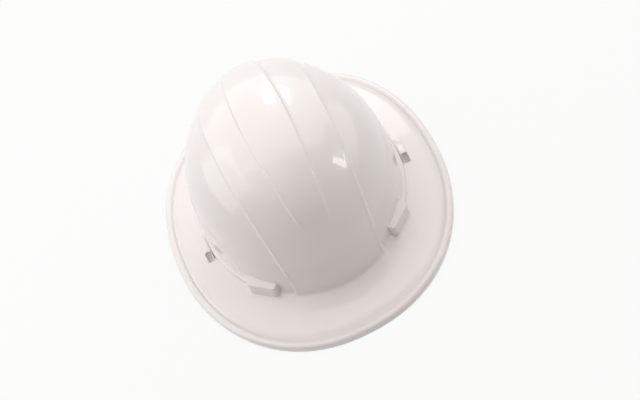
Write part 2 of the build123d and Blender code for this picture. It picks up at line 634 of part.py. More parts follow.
def rack(side):
    """Toothed strip on one side of the ratchet's axis: the left one passes above it, the right one below."""
    def wall(s0, s1, z0, z1):
        a0, a1 = sorted((side * along(s0), side * along(s1)))
        z0, z1 = sorted((side * z0, side * z1))
        return arc_band(RACK_R, RACK_OUT, a0, a1, NAPE_Z + z0, NAPE_Z + z1)

    front = radians(RACK_FRONT_DEG) * RACK_MID
    body = wall(-RACK_TIP, RACK_WIDE_START + CLEAR, PITCH_R + TOOTH_DEPTH, RACK_HALF)
    body = body + wall(RACK_WIDE_START, front, -RACK_HALF, RACK_HALF)
    for k in range(-RACK_TEETH_IN, RACK_TEETH_OUT + 1):
        tooth = rack_tooth() if side > 0 else mirror(rack_tooth(), Plane.XY)
        body = body + Pos(0, BAND_REAR_Y, NAPE_Z) * Rot(0, 0, -side * along(k * PITCH)) * tooth
    return body


# Ratchet

def housing_body(r0, r1):
    """The ratchet casing's rounded outline between two radii."""
    half = along(HOUSING_HALF_WIDTH)
    body = arc_band(r0, r1, -half, half, NAPE_Z - HOUSING_HALF_HEIGHT, NAPE_Z + HOUSING_HALF_HEIGHT)
    corners = [e for e in body.edges() if abs(e.length - (r1 - r0)) < FIT_GAP and abs((e @ 0).Z - (e @ 1).Z) < FIT_GAP]
    return fillet(corners, HOUSING_CORNER)


def screw_places():
    angle = along(SCREW_S)
    return [radial(a, NAPE_Z + z) for a in (-angle, angle) for z in (-SCREW_Z, SCREW_Z)]


def housing_inner():
    body = housing_body(HOUSING_IN, CAVITY_OUT)
    half = along(HOUSING_HALF_WIDTH + OVERRUN)
    edge = RACK_HALF + CAVITY_GAP
    body = body - arc_band(CAVITY_IN, CAVITY_OUT + OVERRUN, -half, half, NAPE_Z - edge, NAPE_Z + edge)
    for place in screw_places():
        body = body - place * rod(SCREW_R + FIT_GAP / 2, COVER_OUT - SCREW_DEPTH - FIT_GAP, COVER_OUT + OVERRUN)
    return body


def housing_cover():
    axis = radial(0, NAPE_Z)
    body = housing_body(CAVITY_OUT, COVER_OUT) + axis * rod(COVER_BOSS_R, CAVITY_OUT + COVER_THICK / 2, BOSS_OUT)
    recess = PITCH_R + PINION_ADDENDUM + CLEAR
    body = body - axis * rod(recess, CAVITY_OUT - OVERRUN, PINION_OUT + CLEAR)
    body = body - axis * rod(HUB_R + PIN_RUN, CAVITY_OUT - OVERRUN, BOSS_OUT + OVERRUN)
    for place in screw_places():
        body = body - place * rod(SCREW_R + FIT_GAP / 2, CAVITY_OUT - OVERRUN, COVER_OUT + OVERRUN)
        body = body - place * rod(SCREW_HEAD_R + FIT_GAP, COVER_OUT - SCREW_HEAD, COVER_OUT + OVERRUN)
    return body


def housing_screws():
    """Four small screws that hold the casing's two halves together."""
    head = COVER_OUT - SCREW_HEAD + FIT_GAP / 2
    screw = rod(SCREW_R, COVER_OUT - SCREW_DEPTH, head + FIT_GAP) + rod(SCREW_HEAD_R, head, COVER_OUT - FIT_GAP)
    return Compound([place * screw for place in screw_places()])


def nape_pad():
    half = along(NAPE_PAD_HALF_WIDTH)
    outer = HOUSING_IN - FIT_GAP
    body = arc_band(outer - NAPE_PAD_THICK, outer, -half, half, NAPE_Z - NAPE_PAD_HALF_HEIGHT,
                    NAPE_Z + NAPE_PAD_HALF_HEIGHT)
    corners = [e for e in body.edges() if abs(e.length - NAPE_PAD_THICK) < FIT_GAP
               and abs((e @ 0).Z - (e @ 1).Z) < FIT_GAP]
    return fillet(corners, HOUSING_CORNER)


def pinion():
    """Involute gear between the two racks, with a gap above and below at rest."""
    pressure = radians(PRESSURE_DEG)
    base_r, tip_r, root_r = PITCH_R * cos(pressure), PITCH_R + PINION_ADDENDUM, PITCH_R - TOOTH_DEPTH
    half_pitch = (PITCH - BACKLASH) / 4 / PITCH_R

    def half_angle(radius):
        local = 0.0 if radius <= base_r else (1 - (base_r / radius) ** 2) ** 0.5
        turn = asin(local)
        return half_pitch + (tan(pressure) - pressure) - (tan(turn) - turn)

    radii = [root_r] + [base_r + (tip_r - base_r) * s for s in FLANK_SHARES]
    points = []
    for k in range(PINION_TEETH):
        middle = pi / 2 + (k + 0.5) * 2 * pi / PINION_TEETH
        points += [(r * cos(middle - half_angle(r)), r * sin(middle - half_angle(r))) for r in radii]
        points += [(r * cos(middle + half_angle(r)), r * sin(middle + half_angle(r))) for r in reversed(radii)]
    body = Pos(0, 0, PINION_IN) * extrude(make_face(Polyline(*points, close=True).edges()), PINION_THICK)
    hole = RegularPolygon(HEX_ACROSS / 2 + FIT_GAP / 2, 6, major_radius=False)
    body = body - Pos(0, 0, PINION_IN - OVERRUN) * extrude(hole, PINION_THICK + 2 * OVERRUN)
    return radial(0, NAPE_Z) * body


def knob():
    """Ribbed knob with its hub, hex drive and the ring of clicks underneath."""
    body = rod(KNOB_R, KNOB_IN, KNOB_OUT)
    for k in range(KNOB_GRIPS):
        turn = 2 * pi * k / KNOB_GRIPS
        reach = KNOB_R + KNOB_GRIP_R - KNOB_GRIP_BITE
        body = body - Pos(reach * cos(turn), reach * sin(turn), 0) * rod(KNOB_GRIP_R, KNOB_IN - OVERRUN,
                                                                         KNOB_OUT + OVERRUN)
    rim = [e for e in body.edges() if min((e @ 0).Z, (e @ 1).Z) > KNOB_OUT - FIT_GAP]
    body = fillet(rim, KNOB_ROUND)
    body = body - rod(KNOB_DISH_R, KNOB_OUT - KNOB_DISH, KNOB_OUT + OVERRUN)
    cave = rod(KNOB_CAVE_R, KNOB_IN - OVERRUN, KNOB_IN + KNOB_CAVE)
    for k in range(CLICK_TEETH):
        tooth = Polyline((0, -CLICK_TOOTH), (0, CLICK_TOOTH), (-2 * CLICK_TOOTH, 0), close=True)
        tooth = extrude(make_face(tooth.edges()), KNOB_CAVE + 2 * OVERRUN)
        turn = Rot(0, 0, FULL_TURN * k / CLICK_TEETH)
        cave = cave - turn * Pos(KNOB_CAVE_R + CLICK_TOOTH, 0, KNOB_IN - OVERRUN) * tooth
    body = body - cave
    body = body + rod(HUB_R, PINION_OUT, KNOB_IN + KNOB_CAVE + FIT_GAP)
    hexagon = extrude(RegularPolygon(HEX_ACROSS / 2, 6, major_radius=False), PINION_THICK + FIT_GAP)
    body = body + Pos(0, 0, PINION_IN) * hexagon
    body = body - rod(KNOB_SCREW_R + FIT_GAP / 2, PINION_IN - OVERRUN, KNOB_OUT + OVERRUN)
    return radial(0, NAPE_Z) * body


def knob_screw():
    seat = KNOB_OUT - KNOB_DISH + FIT_GAP / 2
    body = rod(KNOB_SCREW_R, PINION_IN + FIT_GAP, seat + FIT_GAP) + rod(KNOB_SCREW_HEAD_R, seat,
                                                                         seat + KNOB_SCREW_HEAD)
    slot = KNOB_SCREW_SLOT / 2
    bar = block(-KNOB_SCREW_CROSS, KNOB_SCREW_CROSS, -slot, slot, seat + KNOB_SCREW_HEAD - KNOB_SCREW_SLOT,
                seat + KNOB_SCREW_HEAD + OVERRUN)
    return radial(0, NAPE_Z) * (body - bar - Rot(0, 0, UPRIGHT_DEG) * bar)


def click_spring():
    """Ring round the knob's hub with two springy arms whose noses ride in the knob's clicks."""
    low, high = BOSS_OUT + FIT_GAP / 2, BOSS_OUT + FIT_GAP / 2 + CLICK_HIGH
    body = rod(CLICK_RING_R, low, high) - rod(CLICK_RING_R - CLICK_RING_WALL, low - OVERRUN, high + OVERRUN)
    arm_out = CLICK_ARM_R + CLICK_ARM_WALL
    hoop = rod(arm_out, low, high) - rod(CLICK_ARM_R, low - OVERRUN, high + OVERRUN)
    reach = CLICK_ARM_R * 2
    wedge = Polyline((0, 0), (reach, 0), (reach * cos(radians(CLICK_ARM_DEG)), reach * sin(radians(CLICK_ARM_DEG))),
                     close=True)
    leaf = hoop & Pos(0, 0, low - OVERRUN) * extrude(make_face(wedge.edges()), CLICK_HIGH + 2 * OVERRUN)
    root = block(CLICK_RING_R - CLICK_RING_WALL / 2, CLICK_ARM_R + CLICK_ARM_WALL / 2, 0, CLICK_RING_WALL, low, high)
    end = radians(CLICK_ARM_DEG)
    nose_at = arm_out - CLICK_NOSE_R / 2
    nose = Pos(nose_at * cos(end), nose_at * sin(end), 0) * rod(CLICK_NOSE_R, low, high)
    arm_part = leaf + root + nose
    return radial(0, NAPE_Z) * (body + arm_part + Rot(0, 0, FULL_TURN / 2) * arm_part)


PARTS = {
    "shell": shell,
    "lower_crown_strap": lambda: crown_strap(LUG_ANGLE, 0.0),
    "upper_crown_strap": lambda: crown_strap(180.0 - LUG_ANGLE, STRAP_THICK + STRAP_CROSS_GAP),
    "crown_pad": crown_pad,
    "headband": headband,
    "brow_pad": brow_pad,
    "side_pins": lambda: Compound([side_pin(1), side_pin(-1)]),
    "side_washers": lambda: Compound([side_washer(1), side_washer(-1)]),
    "left_keeper": lambda: arm(1),
    "right_keeper": lambda: arm(-1),
    "left_rack": lambda: rack(1),
    "right_rack": lambda: rack(-1),
    "ratchet_base": housing_inner,
    "ratchet_cover": housing_cover,
    "ratchet_screws": housing_screws,
    "nape_pad": nape_pad,
    "pinion": pinion,
    "knob": knob,
    "knob_screw": knob_screw,
    "click_spring": click_spring,
}
for place in LUG_TURNS:
    PARTS[place + "_strap_key"] = lambda place=place: at_lug(place) * strap_key()

os.makedirs("parts", exist_ok=True)
for node, make in PARTS.items():
    export_step(make(), f"parts/{node}.step")
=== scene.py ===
# %% [markdown]
# # Full brim hard hat
# A hard hat is one moulded shell with a brim all round and, inside it, a harness of webbing, a headband
# and a ratchet. This lesson dresses the CAD model of such a hat. The shell, the webbing and the pads are
# modelled again with softer forms, and every other piece keeps its CAD shape and gets its real finish.

# %% Load the CAD frame
import json
from math import atan2, cos, hypot, pi, radians, sin

import bmesh
import bpy
import numpy as np
from mathutils import Matrix, Vector


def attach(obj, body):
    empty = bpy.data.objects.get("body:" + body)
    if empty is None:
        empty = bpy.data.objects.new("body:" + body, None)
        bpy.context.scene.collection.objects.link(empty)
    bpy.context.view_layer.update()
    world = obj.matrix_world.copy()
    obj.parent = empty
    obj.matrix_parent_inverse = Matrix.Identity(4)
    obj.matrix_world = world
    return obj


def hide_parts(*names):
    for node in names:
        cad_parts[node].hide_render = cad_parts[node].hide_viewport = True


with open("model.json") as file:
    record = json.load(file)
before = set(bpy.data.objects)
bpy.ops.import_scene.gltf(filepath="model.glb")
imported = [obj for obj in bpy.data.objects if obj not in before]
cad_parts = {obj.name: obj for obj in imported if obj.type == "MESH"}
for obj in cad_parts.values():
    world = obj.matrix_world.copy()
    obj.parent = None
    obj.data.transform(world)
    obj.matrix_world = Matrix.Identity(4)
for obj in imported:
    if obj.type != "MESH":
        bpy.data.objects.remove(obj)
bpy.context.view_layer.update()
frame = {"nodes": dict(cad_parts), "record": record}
MM = 0.001

# %% [markdown]
# The camera comes first, because every later choice is judged through it. Its place and turn were worked
# out from the hat's outline in the photograph: it looks down on the front of the hat and leans to one
# side.

# %% Camera
CAMERA_AT = Vector((3.4, -511.7, 762.0)) * MM
CAMERA_RIGHT = Vector((0.89178, -0.38222, -0.24216))
CAMERA_UP = Vector((0.45233, 0.73959, 0.49841))
CAMERA_BACK = Vector((-0.0114, -0.55401, 0.83243))
LENS, SENSOR = 51.95, 36.0

bpy.ops.object.camera_add()
camera = bpy.context.object
turned = Matrix((CAMERA_RIGHT, CAMERA_UP, CAMERA_BACK)).transposed()
camera.matrix_world = Matrix.Translation(CAMERA_AT) @ turned.to_4x4()
camera.data.lens, camera.data.sensor_width = LENS, SENSOR
bpy.context.scene.camera = camera
bpy.context.scene.view_settings.view_transform = "Standard"
print("camera at", [round(value, 3) for value in camera.location])

# %% [markdown]
# Every finish below is built from shader nodes. A few helpers keep that short: one turns an sRGB colour
# as it is written on a colour card into the linear colour that Blender mixes, and one adds a node with
# its settings and its links. A third starts a material with coordinates in real millimetres, so that
# pattern sizes are real. The last two make the slow drift in colour and in gloss that every real surface
# has.


# %% Helpers for materials
def colour(code):
    """An sRGB hex colour as a linear one."""
    parts = [int(code[k:k + 2], 16) / 255 for k in (1, 3, 5)]
    return [p / 12.92 if p <= 0.04045 else ((p + 0.055) / 1.055) ** 2.4 for p in parts] + [1.0]


def add_node(tree, kind, values=None, links=None, **settings):
    """Adds a node, sets its settings and socket values, and links its sockets to outputs of other nodes."""
    made = tree.nodes.new(kind)
    for name, value in settings.items():
        setattr(made, name, value)
    for socket, value in (values or {}).items():
        made.inputs[socket].default_value = value
    for socket, source in (links or {}).items():
        tree.links.new(source, made.inputs[socket])
    return made


def start_material(name, looks=None, source="Object", unit=(1 / MM,) * 3):
    """A material, its tree, its shader with the looks it has all over, and coordinates in millimetres."""
    material = bpy.data.materials.new(name)
    material.use_nodes = True
    tree = material.node_tree
    tree.nodes.clear()
    shader = add_node(tree, "ShaderNodeBsdfPrincipled", looks)
    add_node(tree, "ShaderNodeOutputMaterial", links={"Surface": shader.outputs[0]})
    place = add_node(tree, "ShaderNodeTexCoord")
    scaled = add_node(tree, "ShaderNodeVectorMath", {1: unit}, {0: place.outputs[source]},
                      operation="MULTIPLY")
    return material, tree, shader, scaled.outputs[0]


def mottle(tree, place, size, low, high):
    """A colour that drifts between two close shades over patches of the given size in millimetres."""
    cloud = add_node(tree, "ShaderNodeTexNoise", {"Scale": 1 / size, "Detail": 3.0}, {"Vector": place})
    mix = add_node(tree, "ShaderNodeMix", {6: colour(low), 7: colour(high)}, {0: cloud.outputs[0]},
                   data_type="RGBA")
    return mix.outputs[2]


def roughened(tree, place, size, low, high):
    """A roughness that drifts between two values."""
    cloud = add_node(tree, "ShaderNodeTexNoise", {"Scale": 1 / size, "Detail": 4.0}, {"Vector": place})
    spread = add_node(tree, "ShaderNodeMapRange",
                      {"From Min": 0.3, "From Max": 0.7, "To Min": low, "To Max": high},
                      {"Value": cloud.outputs[0]})
    return spread.outputs[0]


print("helpers ready, white is", colour("#FFFFFF"))

# %% [markdown]
# A white product picture has a pale floor, an even room and soft lamps. The wide panel hangs over the hat
# and behind it, so its reflection covers the upper half of the dome and ends in a soft line above the
# brow. Weaker soft lamps stand at the left, the front left and the right, and two small windows add
# sharper highlights. The low front of the hat is left mostly to the room's light, which gives the dome
# its round grey shade. The floor looks white to the camera and still keeps the hat's soft shadow.

# %% Floor, world and lamps
FLOOR_SIDE, PAPER_TOOTH = 8.0, 1.5
HAT_MIDDLE = Vector((0.0, 0.0, 0.05))
LAMPS = {
    "overhead_panel": {"at": (0.03, 0.36, 0.64), "size": (1.45, 1.0), "power": 4.0},
    "left_soft_lamp": {"at": (-0.82, 0.18, 0.5), "size": (0.8, 0.85), "power": 2.3},
    "front_left_lamp": {"at": (-0.5, -0.25, 0.98), "size": (0.8, 0.8), "power": 1.1},
    "right_soft_lamp": {"at": (1.1, 0.1, 0.42), "size": (1.0, 0.7), "power": 1.6},
    "right_window": {"at": (1.02, -0.51, 0.64), "size": (0.13, 0.4), "power": 1.0},
    "rear_window": {"at": (0.24, 0.76, 0.8), "size": (0.32, 0.32), "power": 0.8},
}
WORLD_LEVEL = 0.34
FLOOR_GLOW = 0.91


def viewer_ray(tree):
    """1 for a ray that shows the viewer the background, also in a reflection or through a clear piece."""
    ray = add_node(tree, "ShaderNodeLightPath").outputs
    seen = add_node(tree, "ShaderNodeMath", links={0: ray["Is Camera Ray"], 1: ray["Is Glossy Ray"]})
    seen = add_node(tree, "ShaderNodeMath", links={0: seen.outputs[0], 1: ray["Is Transmission Ray"]},
                    use_clamp=True)
    return seen.outputs[0]


bpy.ops.mesh.primitive_plane_add(size=FLOOR_SIDE)
floor = bpy.context.object
floor.name = "studio_floor"
looks = {"Base Color": colour("#DCDAD8"), "Roughness": 0.85}
paper, tree, shader, place = start_material("pale studio paper", looks)
tooth = add_node(tree, "ShaderNodeTexNoise", {"Scale": 1 / PAPER_TOOTH, "Detail": 3.0}, {"Vector": place})
bump = add_node(tree, "ShaderNodeBump", {"Strength": 0.1, "Distance": 0.1 * MM},
                {"Height": tooth.outputs[0]})
tree.links.new(bump.outputs[0], shader.inputs["Normal"])
glow = add_node(tree, "ShaderNodeEmission", {"Color": colour("#FFFFFF"), "Strength": 1.0})
share = add_node(tree, "ShaderNodeMath", {1: FLOOR_GLOW}, {0: viewer_ray(tree)}, operation="MULTIPLY")
mixed = add_node(tree, "ShaderNodeMixShader",
                 links={0: share.outputs[0], 1: shader.outputs[0], 2: glow.outputs[0]})
tree.links.new(mixed.outputs[0], tree.nodes["Material Output"].inputs["Surface"])
floor.data.materials.append(paper)

world = bpy.data.worlds.new("even studio light")
bpy.context.scene.world = world
world.use_nodes = True
tree = world.node_tree
tree.nodes.clear()
room = add_node(tree, "ShaderNodeBackground", {"Color": colour("#FFF8F4"), "Strength": WORLD_LEVEL})
white = add_node(tree, "ShaderNodeBackground", {"Color": colour("#FFFFFF"), "Strength": 1.0})
mixed = add_node(tree, "ShaderNodeMixShader",
                 links={0: viewer_ray(tree), 1: room.outputs[0], 2: white.outputs[0]})
add_node(tree, "ShaderNodeOutputWorld", links={"Surface": mixed.outputs[0]})

for name, lamp in LAMPS.items():
    bpy.ops.object.light_add(type="AREA", location=lamp["at"])
    light = bpy.context.object
    light.name = name
    light.data.shape = "RECTANGLE"
    light.data.size, light.data.size_y = lamp["size"]
    light.data.energy = lamp["power"]
    light.rotation_euler = (HAT_MIDDLE - Vector(lamp["at"])).to_track_quat("-Z", "Y").to_euler()
print("lamps", list(LAMPS))

# %% [markdown]
# The shell is injection moulded in polyethylene. Its real surface is almost smooth: a long faint ripple
# from shrinkage bends the highlights, and handling leaves very fine scuffs. The colour is a warm white.
# The mould was polished, so a thin sharp reflection lies over a softer one from the plastic just below
# the skin.

# %% Shell plastic
RIPPLE_SIZE, SCUFF_SIZE = 30.0, 0.9
looks = {"IOR": 1.5, "Coat Weight": 0.8, "Coat Roughness": 0.05}
shell_plastic, tree, shader, place = start_material("glossy white moulded polyethylene", looks)
tree.links.new(mottle(tree, place, 120.0, "#EFE9E7", "#F0EBE9"), shader.inputs["Base Color"])
tree.links.new(roughened(tree, place, 60.0, 0.28, 0.3), shader.inputs["Roughness"])
ripple = add_node(tree, "ShaderNodeTexNoise", {"Scale": 1 / RIPPLE_SIZE, "Detail": 1.0}, {"Vector": place})
scuffs = add_node(tree, "ShaderNodeTexNoise", {"Scale": 1 / SCUFF_SIZE, "Detail": 3.0}, {"Vector": place})
first = add_node(tree, "ShaderNodeBump", {"Strength": 0.3, "Distance": 0.3 * MM},
                 {"Height": ripple.outputs[0]})
second = add_node(tree, "ShaderNodeBump", {"Strength": 0.05, "Distance": 0.02 * MM},
                  {"Height": scuffs.outputs[0], "Normal": first.outputs[0]})
tree.links.new(second.outputs[0], shader.inputs["Normal"])
print("made", shell_plastic.name)


# %% [markdown]
# The rigid harness pieces are moulded too, but their moulds are spark eroded, which leaves a fine even
# grain that scatters light. One recipe gives all of them: a colour, a roughness and the size of that
# grain.

# %% Grained plastics
def grained_plastic(name, low, high, roughness, grain):
    """Moulded plastic with a spark-eroded grain, in millimetres, drawn as coarse as it needs to show."""
    material, tree, shader, place = start_material(name, {"IOR": 1.5})
    tree.links.new(mottle(tree, place, 12.0, low, high), shader.inputs["Base Color"])
    gloss = roughened(tree, place, 6.0, roughness - 0.05, roughness + 0.05)
    tree.links.new(gloss, shader.inputs["Roughness"])
    pits = add_node(tree, "ShaderNodeTexVoronoi", {"Scale": 1 / grain}, {"Vector": place})
    bump = add_node(tree, "ShaderNodeBump", {"Strength": 0.25, "Distance": 0.08 * MM},
                    {"Height": pits.outputs[0]})
    tree.links.new(bump.outputs[0], shader.inputs["Normal"])
    return material


FINISHES = {
    "shell_plastic": shell_plastic,
    "harness_plastic": grained_plastic("satin black moulded nylon", "#1F1F21", "#27272A", 0.42, 0.5),
    "band_plastic": grained_plastic("satin grey white moulded polyethylene", "#D6D6D3", "#DFDFDC",
                                    0.38, 0.7),
    "knob_plastic": grained_plastic("satin black moulded polypropylene", "#232326", "#2B2B2E", 0.48, 0.45),
    "spring_plastic": grained_plastic("natural moulded acetal", "#DAD7CC", "#E3E0D6", 0.3, 0.6),
}
print("plastics", len(FINISHES))

# %% [markdown]
# The screws are zinc plated steel: a bright metal whose plating is faintly clouded. Its roughness drifts
# in small patches, and fine turning marks run round each head.

# %% Plated steel
TURNING_PITCH = 0.25
steel, tree, shader, place = start_material("zinc plated steel", {"Metallic": 1.0})
tree.links.new(mottle(tree, place, 2.0, "#B9BBBE", "#CDCFD2"), shader.inputs["Base Color"])
tree.links.new(roughened(tree, place, 0.8, 0.24, 0.4), shader.inputs["Roughness"])
marks = add_node(tree, "ShaderNodeTexNoise", {"Scale": 1 / TURNING_PITCH, "Detail": 2.0}, {"Vector": place})
bump = add_node(tree, "ShaderNodeBump", {"Strength": 0.15, "Distance": 0.03 * MM},
                {"Height": marks.outputs[0]})
tree.links.new(bump.outputs[0], shader.inputs["Normal"])
FINISHES["steel"] = steel
print("made", steel.name)

# %% [markdown]
# Webbing is woven polyester. Thick warp ribs run along the strap and thin weft threads cross them, so its
# surface is a fine basket. The pattern follows the strap's own UV map, which is laid out in real
# millimetres.

# %% Woven webbing
RIB_PITCH = 1.4
WEFT_PITCH = 1.1
looks = {"Roughness": 0.75, "Sheen Weight": 0.25}
webbing, tree, shader, place = start_material("woven polyester webbing", looks, "UV", (1.0, 1.0, 1.0))
# a sine wave texture repeats every 2 pi / 20 of its scaled input
ribs = add_node(tree, "ShaderNodeTexWave", {"Scale": pi / 10 / RIB_PITCH, "Distortion": 0.3},
                {"Vector": place}, bands_direction="X")
weft = add_node(tree, "ShaderNodeTexWave", {"Scale": pi / 10 / WEFT_PITCH, "Distortion": 0.4},
                {"Vector": place}, bands_direction="Y")
weave = add_node(tree, "ShaderNodeMath", {2: 0.0}, {0: ribs.outputs["Fac"], 1: weft.outputs["Fac"]},
                 operation="MULTIPLY")
fuzz = add_node(tree, "ShaderNodeTexNoise", {"Scale": 3.0, "Detail": 4.0}, {"Vector": place})
height = add_node(tree, "ShaderNodeMath", {1: 0.25}, {0: fuzz.outputs[0], 2: weave.outputs[0]},
                  operation="MULTIPLY_ADD")
# the weave's raised crossings are coloured lighter and its hollows darker: painted shade in the hollows of
# the weave
painted_hollow_shade = add_node(tree, "ShaderNodeMix", {6: colour("#AFAFAB"), 7: colour("#E2E1DC")}, {0: weave.outputs[0]},
                data_type="RGBA")
bump = add_node(tree, "ShaderNodeBump", {"Strength": 0.8, "Distance": 0.25 * MM},
                {"Height": height.outputs[0]})
tree.links.new(painted_hollow_shade.outputs[2], shader.inputs["Base Color"])
tree.links.new(bump.outputs[0], shader.inputs["Normal"])
FINISHES["webbing"] = webbing
print("made", webbing.name)

# %% [markdown]
# The pads are soft foam under a brushed knitted cloth. The knit shows as small rounded loops in rows, and
# the brushed fibres catch light at the edges as a faint sheen.

# %% Brushed cloth
LOOP_PITCH, FIBRE_SIZE = 1.3, 0.3
looks = {"Roughness": 0.9, "Sheen Weight": 0.4, "Sheen Roughness": 0.4}
padding, tree, shader, place = start_material("brushed knitted cloth over foam", looks)
loops = add_node(tree, "ShaderNodeTexVoronoi", {"Scale": 1 / LOOP_PITCH, "Randomness": 0.35},
                 {"Vector": place})
fibres = add_node(tree, "ShaderNodeTexNoise", {"Scale": 1 / FIBRE_SIZE, "Detail": 5.0}, {"Vector": place})
height = add_node(tree, "ShaderNodeMath", {1: -1.0}, {0: loops.outputs[0], 2: fibres.outputs[0]},
                  operation="MULTIPLY_ADD")
# the knit's loops are coloured lighter at their middles and darker in the gaps between them: painted shade
# in those gaps
painted_hollow_shade = add_node(tree, "ShaderNodeMix", {6: colour("#303033"), 7: colour("#1C1C1E")}, {0: loops.outputs[0]},
                data_type="RGBA")
bump = add_node(tree, "ShaderNodeBump", {"Strength": 0.7, "Distance": 0.3 * MM},
                {"Height": height.outputs[0]})
tree.links.new(painted_hollow_shade.outputs[2], shader.inputs["Base Color"])
tree.links.new(bump.outputs[0], shader.inputs["Normal"])
FINISHES["padding"] = padding

thread, tree, shader, place = start_material("twisted polyester thread", {"Roughness": 0.6})
tree.links.new(mottle(tree, place, 0.6, "#B8B8B4", "#DADAD6"), shader.inputs["Base Color"])
print("made", padding.name, "and", thread.name)

# %% [markdown]
# Every CAD piece has a slot in the record that says what it is made of. Giving each its finish by that
# slot dresses all of the rigid pieces at once; the soft ones and the shell are modelled again further
# down.

# %% Dress the CAD pieces
for part in frame["record"]["subparts"]:
    mesh = frame["nodes"][part["node"]].data
    mesh.materials.clear()
    mesh.materials.append(FINISHES[part["material_slot"]])


# %% [markdown]
# Modelling needs a few small tools. One lays a flat grid over columns of points, so that its mesh lines
# run where the form's own lines run. One applies a modifier. One shades a finished piece, gives it its
# finish and joins it to its moving body.

# %% Helpers for modelling
def select_only(piece):
    bpy.ops.object.select_all(action="DESELECT")
    piece.select_set(True)
    bpy.context.view_layer.objects.active = piece


def lay_grid(name, columns):
    """A grid primitive whose vertices are moved onto columns of points, in millimetres."""
    columns = np.asarray(columns, float)
    across, down = columns.shape[0], columns.shape[1]
    bpy.ops.mesh.primitive_grid_add(x_subdivisions=across - 1, y_subdivisions=down - 1, size=1.0)
    piece = bpy.context.object
    piece.name = name
    points = columns.transpose(1, 0, 2).reshape(-1, 3) * MM
    piece.data.vertices.foreach_set("co", points.ravel())
    piece.data.update()
    return piece


def apply_modifier(piece, kind, **settings):
    select_only(piece)
    modifier = piece.modifiers.new(kind.title(), kind)
    for name, value in settings.items():
        setattr(modifier, name, value)
    bpy.ops.object.modifier_apply(modifier=modifier.name)


def finish_piece(piece, body, slot, finish=None, smooth_deg=35.0, flat_faces=False):
    """Shades a piece, gives it its finish and lets it ride on its body; big flat faces can stay flat."""
    select_only(piece)
    bpy.ops.object.shade_smooth_by_angle(angle=radians(smooth_deg))
    if flat_faces:
        apply_modifier(piece, "WEIGHTED_NORMAL", keep_sharp=True)
    piece.data.materials.clear()
    piece.data.materials.append(finish or FINISHES[slot])
    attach(piece, body)
    print(piece.name, len(piece.data.polygons), "faces")


# %% [markdown]
# The dome of the shell is stepped: a wide panel runs over it from front to rear with a narrower one on
# top. Each step is soft, because a mould can't hold a sharp inner corner. A subdivided sphere would blur
# such a line or leave it jagged, so a grid is laid over the dome instead: its columns follow the panels'
# own edges and crowd together on the two steps. Its side view is a squared ellipse, the same as the CAD
# dome's.

# %% Dome sizes
DOME_RX, DOME_RY, DOME_BACK = 101.0, 114.5, 12.5
STRETCH = DOME_RY / DOME_RX
DOME_BASE, DOME_RISE = 6.5, 132.5
SIDE_POWER, TOP_POWER = 2.44, 2.6
FOOT_TURN = 0.0282                      # where the dome's foot starts, 15 mm up
PEAK_TURN = 1.55                        # past this turn the dome's radius is too small to scale
STEP = 2.0
STEP_HALF = 1.1                         # half width of a soft step
BEAD, BEAD_IN, BEAD_WIDE = 0.3, 2.0, 1.0    # the fine raised lip along a panel's edge
LIP_REACH = 4.4
BOW_REACH = 106.0
PANELS = {"outer": (53.5, 42.0), "middle": (21.6, 9.5)}     # half width at the crown, and BOW_REACH from it
FADE_SINK, FADE_START, FADE_END = 1.6, radians(22), radians(48)
ROWS = 108
FINE_POINTS, PROFILE_POINTS = 300, 400


def eased(value):
    value = np.clip(value, 0, 1)
    return value * value * (3 - 2 * value)


def dome_radius(turn, grow=0.0):
    return (DOME_RX + grow) * np.clip(np.cos(turn), 0, 1) ** (2 / SIDE_POWER)


def dome_point(x, y, turn, grow):
    """A point of the dome whose place seen from above, before growth, is x, y in the round."""
    share = dome_radius(turn, grow) / np.maximum(dome_radius(turn), 1e-6)
    share = np.where(turn > PEAK_TURN, 1.0, share)
    height = DOME_BASE + (DOME_RISE + grow) * np.sin(turn) ** (2 / TOP_POWER)
    return np.stack([x * share, DOME_BACK + y * share * STRETCH, height], -1)


print("dome", DOME_RX * 2, "x", DOME_RY * 2)


# %% [markdown]
# A column is one line from the front foot over the dome to the rear foot. Seen from above it is bowed: it
# starts nearer the middle, swings out over the crown and comes back. The columns beside the outer panel
# are spread evenly between that panel's edge and the foot.

# %% Columns over the dome
def column(middle, end):
    """One bowed line over the dome: its places seen from above and its turn up the side, evenly spaced."""
    bow = (middle - end) / BOW_REACH ** 2
    top = np.arccos((middle / DOME_RX) ** (SIDE_POWER / 2)) if middle > 0 else pi / 2
    ease = 1 - (1 - np.linspace(0, 1, FINE_POINTS)) ** 2
    turn = FOOT_TURN + (top - FOOT_TURN) * ease
    radius = dome_radius(turn)
    b, c = 1 - 2 * middle * bow, middle ** 2 - radius ** 2
    along = -c / b if bow == 0 else (-b + np.sqrt(b * b - 4 * bow ** 2 * c)) / (2 * bow ** 2)
    along = np.maximum(along, 0)
    x = middle - bow * along
    y = np.sqrt(along)
    x, y, turn = (np.concatenate([part, part[-2::-1]]) for part in (x, -y, turn))
    y[FINE_POINTS:] *= -1
    return even(x, y, turn)


def run_along(points):
    """The distance from a line's start to each of its points."""
    return np.concatenate([[0], np.cumsum(np.linalg.norm(np.diff(points, axis=0), axis=1))])


def even(x, y, turn):
    """The same line with its points an even distance apart."""
    run = run_along(dome_point(x, y, turn, 0.0))
    wanted = np.linspace(0, run[-1], ROWS + 1)
    return np.stack([np.interp(wanted, run, part) for part in (x, y, turn)], -1)


COLUMN_COUNTS = {"middle": (6, 5, 6), "outer": (9, 5, 6)}    # over the panel, its lip and its step


def spaced(start, stop, count):
    return [tuple(np.array(start) + (np.array(stop) - np.array(start)) * k / count) for k in range(count)]


def edge(panel, offset):
    return (PANELS[panel][0] + offset, PANELS[panel][1] + offset)


